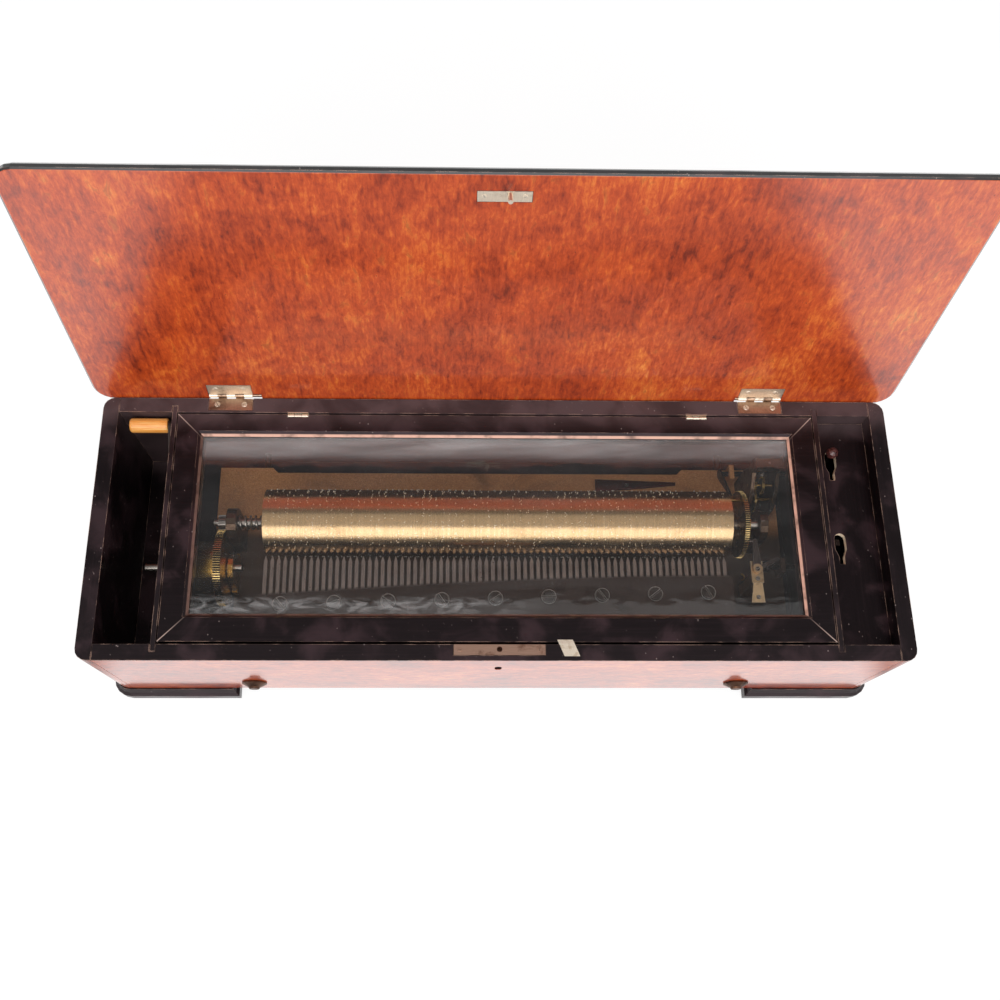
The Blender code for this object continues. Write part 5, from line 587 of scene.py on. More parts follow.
cast_brass = metal("cast brass", "c9a35f", "6f4f2e", 0.5, 0.26, 0.002)
# A darker copy of the cast brass, for the castings that lie deep in the case: painted shade.
shade_darkened = metal("bronzed castings", "5c4a3c", "2a1f1b", 0.6, 0.36, 0.002)
wheel_brass = metal("cut brass", "e2b45c", "8a6430", 0.4, 0.2, 0.006, "ffe2a0", 1.0)
# A darker copy of the cut wheel brass, for the wheels at the dark right end of the case: painted shade.
SHADE_DARK_WHEEL = ("8c7040", "3c2c18", 0.55, 0.26, 0.006, "d8b878")
train_brass = metal("dulled wheel brass", *SHADE_DARK_WHEEL)
pinion_brass = metal("cylinder wheel brass", *SHADE_DARK_WHEEL)
arm_steel = metal("stop arm steel", "5a4f49", "302725", 0.5, 0.32, (0.004, 0.0008, 0.004), "b8aca2")
bracket_brass = metal(
    "browned bracket brass", "d6b68c", "7c5c42", 0.45, 0.3, (0.002, 0.004, 0.002), "fff0d0"
)
lock_brass = metal("browned brass", "c9a490", "7e5c4c", 0.5, 0.4, (0.012, 0.0006, 0.0006))
bolt_brass = metal("bolt brass", "6a4c3c", "33241f", 0.6, 0.36, 0.003)
leaf_brass = metal("pale brass", "fff0dc", "b79f84", 0.4, 0.42, (0.0005, 0.006, 0.006), "fffaf0")
rubbed_leaf = metal("handled brass", "c9ab92", "6d5344", 0.6, 0.3, (0.0005, 0.006, 0.006), "ffeedd")
ground_steel = metal("ground steel", "aaa39b", "6b5d54", 0.45, 0.28, (0.0006, 0.006, 0.006))
dark_steel = metal("oiled steel", "4a413e", "282022", 0.6, 0.36, (0.004, 0.0008, 0.004), "8f857e")
screw_steel = metal("screw steel", "4e443e", "2c2420", 0.5, 0.3, (0.003, 0.0005, 0.003), "e6dcd0", 1.0)
print("metals ready, from", cast_brass.material.name, "to", screw_steel.material.name)

# %% [markdown]
# Two wheels are cut with fine teeth that the camera sees edge on. Their gaps are painted black
# as shade and their tips are painted bright as highlights, so both are picked out by how far a point
# lies from the wheel's axis. The stop arm turns on a brass boss, which is found in the same way.

# %% Wheel teeth and the brass boss
CYLINDER_MIDDLE = at(0, 12.9, -34.0)
BARREL_MIDDLE = at(0, -16.0, -50.0)
STOP_PIVOT = at(187.4, -21.7, 0)
BOSS_RADIUS = 3.8 * MM


def toothed(finish, middle, root, tip):
    """Paints shade into the gaps of a wheel round an x axis and a highlight on its tips; radii in
    millimetres.
    """
    distance = finish.away(middle)[1]
    below_tips = finish.fade(distance, (tip - 0.3) * MM, (tip - 0.5) * MM)
    above_rim = finish.fade(distance, (root - 0.3) * MM, (root - 0.1) * MM)
    # Painted shade between the teeth, then a painted highlight on their tips.
    finish.over(finish.times(below_tips, above_rim, 0.92), "160e08")
    tips = finish.fade(distance, (tip - 0.2) * MM, (tip - 0.05) * MM)
    finish.over(finish.times(tips, 0.9), "ffdd98")


toothed(wheel_brass, BARREL_MIDDLE, root=27.5, tip=28.49)
toothed(pinion_brass, CYLINDER_MIDDLE, root=23.5, tip=24.4)
from_pivot = arm_steel.away(STOP_PIVOT, (1.0, 1.0, 0.0))[1]
arm_steel.over(arm_steel.fade(from_pivot, BOSS_RADIUS + 0.4 * MM, BOSS_RADIUS - 0.4 * MM), "d2b088")
print("teeth and boss marked")

# %% [markdown]
# ## The comb
#
# The comb is one hardened steel plate, sawn into teeth and tempered, so it is greyer and browner
# than a bright file-finished part. Fine grinding lines run along its teeth, and small rust
# freckles are scattered over it. The plate is browner than the teeth. The bass teeth on the left
# are cut longer, so the line between the two is a curve, worked out from x.

# %% The comb's steel
COMB_RIGHT = 164.0 * MM
COMB_LENGTH = 329.0 * MM
TREBLE_ROOT = RIM.y - 26.6 * MM
BASS_CUT = 14.7 * MM


def comb_finish():
    finish = Finish("comb steel", metallic=1.0)
    lines = finish.noise((0.0003, 0.012, 0.003), 3.0, 0.7)
    clouds = finish.noise((0.02, 0.01, 0.01), 5.0, 0.65)
    x, y, _ = finish.axes()
    bass = finish.most(finish.maths("DIVIDE", finish.less(COMB_RIGHT, x), COMB_LENGTH), 0.0)
    root = finish.times(finish.maths("POWER", bass, 1.7), -BASS_CUT)
    past = finish.less(y, finish.plus(root, TREBLE_ROOT))
    plate = finish.ramp(lines, ((0.3, "3c302b"), (0.6, "54463f")))
    plate = finish.blend(finish.fade(clouds, 0.5, 0.72, 0.0, 0.6), plate, "32251f")
    teeth = finish.ramp(lines, ((0.3, "776860"), (0.6, "aa998f")))
    steel = finish.blend(finish.fade(past, -0.001, 0.002), plate, teeth)
    # Painted shade: the gaps between the teeth and round the screws are darkened to near black.
    between = finish.crevice_shade(0.0035, 0.7, 0.4)
    steel = finish.blend(finish.times(between, 0.9), steel, "0c0806")
    rust = finish.cells(0.004)
    rust = finish.times(finish.fade(rust, 0.16, 0.06), finish.fade(clouds, 0.45, 0.6))
    steel = finish.blend(rust, steel, "4a2a1a")
    finish.set("Base Color", steel)
    finish.set("Roughness", finish.fade(clouds, 0.3, 0.7, 0.3, 0.46))
    finish.set("Normal", finish.bump(lines, 0.00002))
    return finish


comb_steel = comb_finish()
print("made", comb_steel.material.name)

# %% [markdown]
# ## The cylinder's skin
#
# The CAD tube is a prism with many narrow sides, and a highlight would show every one of them. The
# true direction of a round tube's surface is simply away from its axis, so the material works
# that out and turns it with the body.
#
# The cylinder is drawn brass tube, turned true and pricked with thousands of holes for its pins.
# The lathe left fine rings round it, so the pattern is very thin along x and wide across it. The
# lacquer has gone in drifts of small brown freckles, which are rougher than the clean brass.

# %% The cylinder's brass
CYLINDER_RADIUS = 24.0


def cylinder_finish():
    finish = Finish("turned cylinder brass", metallic=1.0)
    rings = finish.noise((0.0006, 0.2, 0.2), 2.0, 0.5)
    clouds = finish.noise((0.03, 0.012, 0.012), 5.0, 0.68, 0.3)
    brass = finish.ramp(rings, ((0.3, "c6a679"), (0.7, "d6b890")))
    brass = finish.blend(finish.fade(clouds, 0.5, 0.75, 0.0, 0.45), brass, "a98659")
    freckles = finish.cells(0.0023)
    freckles = finish.fade(freckles, 0.2, 0.1)
    where = finish.fade(finish.noise((0.012, 0.009, 0.009), 4.0), 0.5, 0.66)
    freckles = finish.times(freckles, where)
    brass = finish.blend(finish.times(freckles, 0.6), brass, "6a4c2e")
    finish.set("Base Color", brass)
    rough = finish.fade(clouds, 0.3, 0.7, 0.21, 0.27)
    finish.set("Roughness", finish.plus(rough, finish.times(freckles, 0.15)))
    outward, distance = finish.away(CYLINDER_MIDDLE)
    turned = finish.node(
        "ShaderNodeVectorTransform", vector_type="NORMAL", convert_from="OBJECT", convert_to="WORLD"
    )
    finish.feed(outward, turned.inputs[0])
    on_tube = finish.fade(distance, (CYLINDER_RADIUS - 0.5) * MM, (CYLINDER_RADIUS - 0.2) * MM)
    normal = finish.node("ShaderNodeMix", data_type="VECTOR")
    for value, socket in ((on_tube, 0), (finish.facing(), 4), (turned.outputs[0], 5)):
        finish.feed(value, normal.inputs[socket])
    finish.set("Normal", finish.bump(rings, 0.000001, normal.outputs[1]))
    return finish


cylinder_brass = cylinder_finish()
print("made", cylinder_brass.material.name)

# %% [markdown]
# ## Painted iron
#
# The bedplate is a rough iron casting under brown bronze paint. The paint is a dielectric, so the
# finish isn't metallic: it has a fine sandy bump, lighter on the tops of the sand, with cloudy
# stains. The front half, under the barrel and the comb, is painted near black as the shadow of the
# movement.

# %% Bronze paint
def paint_finish():
    finish = Finish("bronze paint")
    sand = finish.noise(0.0009, 3.0, 0.6)
    clouds = finish.noise((0.04, 0.03, 0.03), 4.0, 0.6, 0.4)
    paint = finish.ramp(sand, ((0.3, "c07c48"), (0.6, "e0a066"), (0.8, "f0c08c")))
    paint = finish.blend(finish.fade(clouds, 0.5, 0.75, 0.0, 0.6), paint, "5a3822")
    # Painted shadow: the front of the bedplate, under the barrel and the comb, is darkened to near
    # black.
    shadow_under_movement = finish.fade(finish.axes()[1], RIM.y + 0.030, RIM.y + 0.012, 0.0, 0.92)
    paint = finish.blend(shadow_under_movement, paint, "1a100b")
    finish.set("Base Color", paint)
    finish.set("Roughness", finish.fade(clouds, 0.3, 0.7, 0.42, 0.6))
    finish.set("Normal", finish.bump(sand, 0.0002))
    return finish


bronze_paint = paint_finish()
print("made", bronze_paint.material.name)

# %% [markdown]
# ## The pane
#
# Clear glass is all transmission, but an old pane is never quite clean: a film of dust makes it
# faintly milky, in wipes and specks, and thickest at the back where no cloth reaches, with smears
# from fingers at the front left. At the back the film also stands for the grey haze that the pane
# reflects there: a painted reflection. The film is a small drop in transmission. Old glass is also a
# little wavy, which a very shallow bump gives. Light from the lamps must reach the movement, and
# tracing it through real refraction is noisy, so for shadow rays the pane is simply transparent.

# %% Dusty glass
def glass_finish():
    finish = Finish("dusty glass", roughness=0.015)
    wipes = finish.noise(finish.pattern((0.09, 0.012, 0.012), (0.0, 0.0, 0.06)), 4.0, 0.6, 0.3)
    specks = finish.cells(0.004)
    specks = finish.times(finish.fade(specks, 0.09, 0.04), 0.25)
    deep = finish.axes()[1]
    # At the back the dust film also stands for the pane's grey reflection haze: painted reflection.
    behind = finish.fade(deep, RIM.y + 0.048, RIM.y + 0.062, 0.05, 1.0)
    dust_and_haze = finish.times(finish.fade(wipes, 0.3, 0.8, 0.05, 0.22), behind)
    smears = finish.noise((0.016, 0.006, 0.01), 3.0, 0.6, 1.2)
    near = finish.fade(deep, RIM.y - 0.048, RIM.y - 0.056)
    near = finish.times(near, finish.fade(finish.axes()[0], 0.04, -0.04))
    dust_and_haze = finish.plus(dust_and_haze, finish.times(near, finish.fade(smears, 0.46, 0.62, 0.0, 0.1)))
    finish.set("Base Color", (0.95, 0.94, 0.94, 1.0))
    finish.set("IOR", 1.5)
    finish.set("Specular IOR Level", 0.3)
    ripples = finish.noise((0.03, 0.014, 0.03), 2.0, 0.4)
    finish.set("Normal", finish.bump(ripples, 0.0001))
    finish.set("Transmission Weight", finish.less(1.0, finish.plus(dust_and_haze, specks)))
    clear = finish.node("ShaderNodeBsdfTransparent")
    finish.feed((0.91, 0.91, 0.91, 1.0), clear.inputs["Color"])
    finish.show_instead(finish.node("ShaderNodeLightPath").outputs["Is Shadow Ray"], clear.outputs[0])
    return finish


dusty_glass = glass_finish()
print("made", dusty_glass.material.name)

# %% [markdown]
# ## The control board
#
# The board over the right-hand compartment is painted black, but the two keyhole slots were
# sawn after painting, and their cut walls show pale raw wood. A slot's walls are the only faces
# of the board that don't face up or down, so the direction of the surface picks them out.

# %% The control board's finish
def board_finish():
    finish = Finish("painted board with raw slots")
    dark, _, grain = ebony_layer(finish, ALONG_Y)
    upright = finish.unsigned(finish.axes(finish.facing())[2])
    wall = finish.fade(upright, 0.6, 0.4)
    fibres = finish.noise((0.002, 0.002, 0.0008), 4.0)
    raw = finish.ramp(fibres, ((0.3, "f0cfa6"), (0.7, "fff4e0")))
    rough = finish.fade(wall, 0.0, 1.0, 0.4, 0.75)
    rubbed(finish, finish.blend(wall, dark, raw), rough, 0.3, coat=0.0)
    finish.set("Normal", finish.bump(grain, 0.0001))
    return finish


raw_slot_board = board_finish()
print("made", raw_slot_board.material.name)

# %% [markdown]
# ## Dressing the CAD bodies
#
# A CAD body keeps its mesh and its place: only its material slots change.

# %% Give each body its finish
def dress(finish, *names):
    for name in names:
        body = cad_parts[name]
        body.data.materials.clear()
        body.data.materials.append(finish.material)


dress(case_long, "front_board", "back_board", "bottom_board")
dress(case_short, "left_end_board", "right_end_board")
dress(polished_lid, "lid_board")
dress(worn_frame, "glass_lid_frame")
dress(ebony_x, "front_left_foot", "front_right_foot", "back_left_foot", "back_right_foot")
dress(oxblood, "change_knob")
dress(ebony_y, "left_partition", "right_partition")
dress(raw_slot_board, "control_board")
dress(boxwood, "lever_grip")
dress(dusty_glass, "glass_pane")
dress(bronze_paint, "bedplate")
dress(cylinder_brass, "cylinder")
dress(comb_steel, "comb")
dress(lock_brass, "lock_case")
dress(bolt_brass, "front_left_bed_bolt", "front_right_bed_bolt")
dress(bolt_brass, "back_left_bed_bolt", "back_right_bed_bolt")
# Painted shade: the cylinder cocks, the left barrel bridge, the governor frame and the comb base take
# the darker brass.
dress(shade_darkened, "cylinder_left_cock", "cylinder_right_cock", "barrel_left_bridge")
dress(shade_darkened, "governor_frame", "comb_base")
dress(cast_brass, "barrel_right_bridge")
dress(bracket_brass, "stop_bracket")
dress(wheel_brass, "spring_barrel", "barrel_cover")
# Painted shade: the drive wheel and the governor arbors take the darker wheel brass.
dress(pinion_brass, "drive_wheel")
dress(train_brass, "governor_first_arbor", "governor_second_arbor")
dress(arm_steel, "stop_arm")
dress(dark_steel, "start_lever", "change_lever", "mainspring", "winding_lever")
dress(ground_steel, "lever_click", "holding_click", "winding_arbor", "cylinder_arbor")
dress(ground_steel, "shift_spring", "tune_snail", "endless_screw", "lock_bolt")
for side in ("left", "right"):
    dress(leaf_brass, f"{side}_hinge_lid_leaf")
    dress(rubbed_leaf, f"{side}_hinge_case_leaf")
    dress(leaf_brass, f"glass_hinge_{side}_wall_leaf", f"glass_hinge_{side}_frame_leaf")
dress(leaf_brass, "lid_catch")

# %% [markdown]
# ## New pieces
#
# Every new piece starts as a bmesh, gets its finish, and then rides on the CAD body that carries
# it, so that it moves when the joint does.

# %% Finish a piece and set it on its carrier
def fitted(name, shape, finish, body):
    bmesh.ops.recalc_face_normals(shape, faces=shape.faces)
    mesh = bpy.data.meshes.new(name)
    shape.to_mesh(mesh)
    shape.free()
    mesh.shade_smooth()
    mesh.set_sharp_from_angle(angle=math.radians(35))
    mesh.materials.append(finish.material)
    piece = bpy.data.objects.new(name, mesh)
    bpy.context.scene.collection.objects.link(piece)
    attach(piece, body)
    print(name, "has", len(mesh.polygons), "faces")
    return piece


# %% [markdown]
# ## Slotted screws
#
# A clock screw has a low, slightly domed head with a straight slot. The head is a thin disc with
# two half discs on it, and the slot is the gap between them, so it is open at both ends as a
# sawn slot is. Each half is a whole disc cut by a plane, with the cut filled again.

# %% Build a screw head
FLOOR_SHARE = 0.5
HALF_SHARE = 0.6
SHOULDER_SHARE = 0.99
TOP_SHARE = 0.86
SLOT_SHARE = 0.22


def screw_head(shape, place, radius, height, slot, angle):
    """Adds one head to shape, standing on a place whose z points out of the surface."""
    stand = place @ Matrix.Rotation(math.radians(angle), 4, "Z")
    floor = height * FLOOR_SHARE
    base = stand @ Matrix.Translation((0.0, 0.0, floor / 2))
    bmesh.ops.create_cone(
        shape, cap_ends=True, segments=20, radius1=radius, radius2=radius, depth=floor, matrix=base
    )
    for side in (1.0, -1.0):
        half = bmesh.new()
        bmesh.ops.create_cone(
            half, cap_ends=True, segments=20, radius1=radius * SHOULDER_SHARE,
            radius2=radius * TOP_SHARE, depth=height * HALF_SHARE,
        )
        everything = half.verts[:] + half.edges[:] + half.faces[:]
        bmesh.ops.bisect_plane(
            half, geom=everything, dist=1e-7, plane_co=(side * slot / 2, 0.0, 0.0),
            plane_no=(side, 0.0, 0.0), clear_inner=True,
        )
        bmesh.ops.holes_fill(half, edges=half.edges[:], sides=0)
        half.transform(stand @ Matrix.Translation((0.0, 0.0, height * (1 - HALF_SHARE / 2))))
        carried = bpy.data.meshes.new("half head")
        half.to_mesh(carried)
        half.free()
        shape.from_mesh(carried)
        bpy.data.meshes.remove(carried)


def screws(name, places, radius, height, finish, body):
    """A set of screws that one body carries; each place comes with the angle of its slot."""
    shape = bmesh.new()
    for place, angle in places:
        screw_head(shape, place, radius, height, radius * SLOT_SHARE, angle)
    fitted(name, shape, finish, body)


def facing_up(x, y, z):
    return Matrix.Translation(at(x, y, z))


def on_lid(x, up, proud=0.0):
    """A place on the lid's inner face, facing out of it."""
    place = LID_RULER @ Matrix.Translation(Vector((x, LID_FACE - proud, up)) * MM)
    return place @ Matrix.Rotation(math.radians(90), 4, "X")


print("screws stand", [round(v, 4) for v in facing_up(0, 0, 0).translation])

# %% [markdown]
# Nine large screws clamp the comb's plate to its base. They follow the slant of the plate, and a
# fitter leaves each slot where it tightens, so the angles differ. The heads have browned with
# the plate, and only their rubbed rims and the edges of the slots catch the light.

# %% Comb screws
COMB_SLOTS = (40, 112, 58, 35, 125, 92, 38, 128, 30)
FIRST_COMB_SCREW = Vector((-152.5, -48.2, -33.05))
COMB_SCREW_STEP = Vector((37.9, 1.14, 0.0))
comb_places = [
    (facing_up(*(FIRST_COMB_SCREW + k * COMB_SCREW_STEP)), slot) for k, slot in enumerate(COMB_SLOTS)
]
screws("comb_screws", comb_places, 5.3 * MM, 2.2 * MM, screw_steel, "case")

# %% [markdown]
# Each hinge leaf has two screws, sunk nearly flush because the leaves close on one another. The
# lock's top plate and the catch plate on the lid have two each as well.

# %% Hinge, lock and catch screws
HINGE_MIDDLES = (-190.0, 190.0)
LEAF_SCREWS = ((-9.6, 25), (9.6, 110))
LEAF_SUNK = 0.2
PLATE_SUNK = 0.15
hinge_places = []
lid_places = []
for middle in HINGE_MIDDLES:
    for across, angle in LEAF_SCREWS:
        hinge_places.append((facing_up(middle + across, 90.8, -LEAF_SUNK), angle))
        lid_places.append((on_lid(middle + across, 7.2, -LEAF_SUNK), angle + 40))
screws("case_hinge_screws", hinge_places, 2.1 * MM, 0.38 * MM, leaf_brass, "case")
screws("lid_hinge_screws", lid_places, 2.1 * MM, 0.38 * MM, leaf_brass, "lid")
catch_places = [(on_lid(x, 183.2, -PLATE_SUNK), angle) for x, angle in ((-14.5, 30), (8.6, 100))]
screws("catch_screws", catch_places, 1.3 * MM, 0.5 * MM, leaf_brass, "lid")
lock_places = [(facing_up(x, -88.1, -PLATE_SUNK), angle) for x, angle in ((-26.5, 80), (26.5, 15))]
screws("lock_screws", lock_places, 1.6 * MM, 0.5 * MM, lock_brass, "case")

# %% [markdown]
# The barrel's bridges, the governor and the stop bracket are held by screws through their feet.

# %% Movement screws
foot_places = [
    (facing_up(-191.6, -3.5, -63.7), 40),
    (facing_up(-191.6, -28.5, -63.7), 75),
    (facing_up(-221.6, -3.5, -63.7), 10),
    (facing_up(187.4, -41.5, -35.5), 130),
]
screws("bridge_screws", foot_places, 1.55 * MM, 1.1 * MM, ground_steel, "case")
governor_places = [(facing_up(194.0, 33.0, -66.7), 20), (facing_up(201.0, 55.0, -66.7), 90)]
screws("governor_screws", governor_places, 1.9 * MM, 1.2 * MM, screw_steel, "case")
plate_place = [(facing_up(187.4, -28.4, -33.4), 60)]
screws("stop_plate_screw", plate_place, 1.7 * MM, 1.0 * MM, ground_steel, "case")
arm_place = [(facing_up(187.4, -21.7, -31.3), 110)]
screws("stop_arm_screw", arm_place, 1.7 * MM, 1.0 * MM, screw_steel, "stop_arm")

# %% [markdown]
# Three small parts lie on the bedplate and carry nothing that moves: a dark red tapered spring
# blank behind the cylinder with its screw, a little brass half ring by the stop bracket, and
# three dowel heads in a row beside the barrel.

# %% Small parts on the bedplate
BED = -69.7
BAR_PLAN = ((79.0, 51.5), (141.0, 57.6), (141.0, 59.6), (79.0, 62.0))
BAR_HEIGHT = 2.4
red_lacquer = metal("dark red lacquer", "5c2a22", "2c1412", 0.5, 0.3, (0.004, 0.001, 0.001), "9a6450")


def tapered_bar():
    """A bar whose plan narrows to the right, with its upper edges broken by a small bevel."""
    shape = bmesh.new()
    face = shape.faces.new([shape.verts.new(at(x, y, BED + 0.1)) for x, y in BAR_PLAN])
    raised = bmesh.ops.extrude_face_region(shape, geom=[face])["geom"]
    top = [part for part in raised if isinstance(part, bmesh.types.BMVert)]
    bmesh.ops.translate(shape, verts=top, vec=(0.0, 0.0, BAR_HEIGHT * MM))
    top_edges = [edge for edge in shape.edges if all(corner in top for corner in edge.verts)]
    bmesh.ops.bevel(shape, geom=top_edges, offset=0.5 * MM, segments=2, profile=0.5, affect="EDGES")
    return shape


def wire(points, radius, sides=8):
    """Round wire along a run of points: a loop of corners at each, bridged, with closed ends."""
    shape = bmesh.new()
    loops = []
    side = None
    for k, point in enumerate(points):
        ahead = (points[min(k + 1, len(points) - 1)] - points[max(k - 1, 0)]).normalized()
        side = side or ahead.orthogonal()
        side = (side - ahead * side.dot(ahead)).normalized()
        other = ahead.cross(side)
        turns = [math.tau * corner / sides for corner in range(sides)]
        corners = [point + radius * (side * math.cos(t) + other * math.sin(t)) for t in turns]
        loops.append([shape.verts.new(corner) for corner in corners])
    for first, second in zip(loops, loops[1:]):
        for k in range(sides):
            shape.faces.new((first[k], first[(k + 1) % sides], second[(k + 1) % sides], second[k]))
    shape.faces.new(loops[0])
    shape.faces.new(loops[-1][::-1])
    return shape


def half_ring(middle, radius):
    steps = [math.radians(-90 + 15 * step) for step in range(13)]
    return [middle + Vector((math.cos(a), math.sin(a), 0.0)) * radius for a in steps]


fitted("tapered_bar", tapered_bar(), red_lacquer, "case")
screws("bar_screw", [(facing_up(103.0, 57.0, BED + 2.5), 20)], 1.5 * MM, 0.9 * MM, screw_steel, "case")
ring = wire(half_ring(at(186.0, -16.6, BED + 0.9), 2.4 * MM), 0.75 * MM)
fitted("brass_half_ring", ring, cast_brass, "case")
dowels = [(facing_up(x, y, BED), 0) for x, y in ((-196.2, -12.2), (-191.7, -11.4), (-188.1, -10.6))]
screws("dowel_heads", dowels, 1.1 * MM, 1.0 * MM, ground_steel, "case")

# %% [markdown]
# ## The shift spring
# An open coil spring pushes the cylinder back to its first tune, and shortens when the snail
# pushes the cylinder towards it. So the CAD spring's five turns are wound again here as a piece
# of their own, which rides on the cylinder arbor.
# that can squash: its right end gives way by as much as the cylinder moves.

# %% Wind the spring
SPRING_TURNS = 5
SPRING_WIRE = 0.85 * MM
STEPS_PER_TURN = 24
spring_low, spring_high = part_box("shift_spring")
spring_radius = (spring_high.y - spring_low.y) / 2 - SPRING_WIRE
spring_run = (spring_high.x - spring_low.x) - 2 * SPRING_WIRE
coil = []
for k in range(STEPS_PER_TURN * SPRING_TURNS + 1):
    turn = math.tau * k / STEPS_PER_TURN
    along = spring_low.x + SPRING_WIRE + spring_run * k / (STEPS_PER_TURN * SPRING_TURNS)
    round_axis = Vector((0.0, math.cos(turn), math.sin(turn))) * spring_radius
    coil.append(Vector((along, CYLINDER_MIDDLE.y, CYLINDER_MIDDLE.z)) + round_axis)
spring = fitted("coil_spring", wire(coil, SPRING_WIRE), ground_steel, "cylinder_arbor")
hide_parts("shift_spring")
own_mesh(spring)

# %% [markdown]
# ## Cylinder pins
#
# Each comb tooth has six tunes to play, so round the cylinder each tooth owns six rows of pins
# set 0.3 mm apart. More than two thousand pins stand out by half a millimetre. One pin is a
# five-sided cone: at this size nobody could count its sides, and the whole set stays light.
# A stripe without pins faces the comb when no tune is playing.

# %% Place the pins
TEETH = 72
TUNES = 6
TOOTH_STEP = 4.56
FIRST_TOOTH = -164.3 + TOOTH_STEP / 2
TUNE_STEP = 0.3
BEATS = 46
STRIPE_END = 196
PINNED_ARC = 328
PIN_LENGTH = 0.9


def pin_places(seed):
    """x along the cylinder and angle round it for each pin, loosely in chords."""
    chooser = random.Random(seed)
    places = []
    for tune in range(TUNES):
        beats = [math.radians(STRIPE_END + PINNED_ARC * k / BEATS) for k in range(BEATS)]
        for tooth in range(TEETH):
            busy = chooser.choice((1, 3, 4, 5, 7, 9))
            x = FIRST_TOOTH + tooth * TOOTH_STEP + TUNE_STEP * tune
            for beat in chooser.sample(beats, busy):
                places.append((x, beat + chooser.uniform(-0.05, 0.05)))
    return places


def pin_shape(places):
    shape = bmesh.new()
    for x, angle in places:
        turn = Matrix.Rotation(angle - math.radians(90), 4, "X")
        stand = Matrix.Translation(CYLINDER_MIDDLE + Vector((x * MM, 0.0, 0.0))) @ turn
        stand = stand @ Matrix.Translation((0.0, 0.0, (CYLINDER_RADIUS + 0.1) * MM))
        bmesh.ops.create_cone(
            shape, cap_ends=True, segments=5, radius1=0.27 * MM, radius2=0.22 * MM,
            depth=PIN_LENGTH * MM, matrix=stand,
        )
    return shape


pins = pin_places(7)
pin_steel = metal("pin steel", "fff6e6", "c8b89c", 0.3, 0.42, 0.002)
fitted("cylinder_pins", pin_shape(pins), pin_steel, "cylinder")
print("pins:", len(pins))

# %% [markdown]
# ## The pull tab
#
# A scrap of cream woven tape is glued under the front of the glass lid to lift it by. The CAD
# strip only holds its place. Here it is a grid pulled into the same place, which steps up on to the
# rim and is given a thickness; it stays low, so the closed lid clears it. The weave is a fine bump
# of two crossed sets of threads.

# %% Woven tape
def tape_finish():
    finish = Finish("woven tape", roughness=0.85)
    turn = (0.0, 0.0, math.radians(-22))
    along = finish.axes(finish.pattern(0.00055, turn))
    warp = finish.maths("SINE", finish.times(along[0], math.tau))
    weft = finish.maths("SINE", finish.times(along[1], math.tau))
    weave = finish.times(finish.plus(warp, weft), 0.25)
    weave = finish.plus(weave, 0.5)
    stain = finish.noise(0.004, 4.0)
    cloth = finish.ramp(weave, ((0.1, "b7a58c"), (0.6, "e3d9c6"), (0.9, "efe8da")))
    cloth = finish.blend(finish.fade(stain, 0.5, 0.7, 0.0, 0.6), cloth, "a88f70")
    finish.set("Base Color", cloth)
    finish.set("Sheen Weight", 0.2)
    finish.set("Normal", finish.bump(weave, 0.0002))
    return finish


TAPE_WIDTH = 10.4 * MM
TAPE_SKEW = 4.6 * MM
TAPE_THICKNESS = 0.22 * MM
TAPE_LOW = -0.68 * MM
TAPE_STEP = 0.74 * MM
CURL = 0.07 * MM


def tape_shape():
    """The CAD strip's plan, as a fine grid that steps up from the frame and lies on the rim."""
    low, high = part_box("pull_tab")
    shape = bmesh.new()
    bmesh.ops.create_grid(shape, x_segments=12, y_segments=14, size=0.5)
    length = high.y - low.y
    for point in shape.verts:
        x, y = point.co.x, point.co.y
        front = 0.5 - y
        step = min(1.0, front / 0.28)
        step = step * step * (3 - 2 * step)
        ripple = 0.5 * math.sin(9.0 * front + 4.0 * x) + 0.5
        curl = CURL * (front ** 2 * math.cos(3.0 * x) + ripple)
        height = RIM.z + TAPE_LOW + step * (TAPE_STEP + curl)
        across = low.x + (x + 0.5) * TAPE_WIDTH + front * TAPE_SKEW
        point.co = (across, high.y - front * length, height)
    lowest = min(point.co.z for point in shape.verts)
    bmesh.ops.solidify(shape, geom=shape.faces[:], thickness=TAPE_THICKNESS)
    lift = lowest - min(point.co.z for point in shape.verts)
    bmesh.ops.translate(shape, verts=shape.verts[:], vec=(0.0, 0.0, lift))
    print("tape from", round((lowest - RIM.z) / MM, 2), "mm under the rim")
    return shape


pull_tab = fitted("tape_tab", tape_shape(), tape_finish(), "glass_lid")
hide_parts("pull_tab")

# %% [markdown]
# ## The studio
#
# The box stands on a white floor in soft light. The background has to be white without pouring
# more light on the box, so the floor and the world look white only to the rays that come straight
# from the camera or off a shiny surface. The floor keeps a little plain white, and with it the
# box's soft shadow. Shiny surfaces see it darker in front of the box, where the photographer's
# side of the room is dim, and bright at both ends and close to the box: that is the pale glare in
# the lid's corners and on the polished front face, which the camera sees at a grazing angle.

# %% Floor
FLOOR_SIZE = 8.0
EYE_GLOW = 0.86
DIM_GLOW = 0.2
END_GLOW = 1.8
CLOSE_GLOW = 0.95


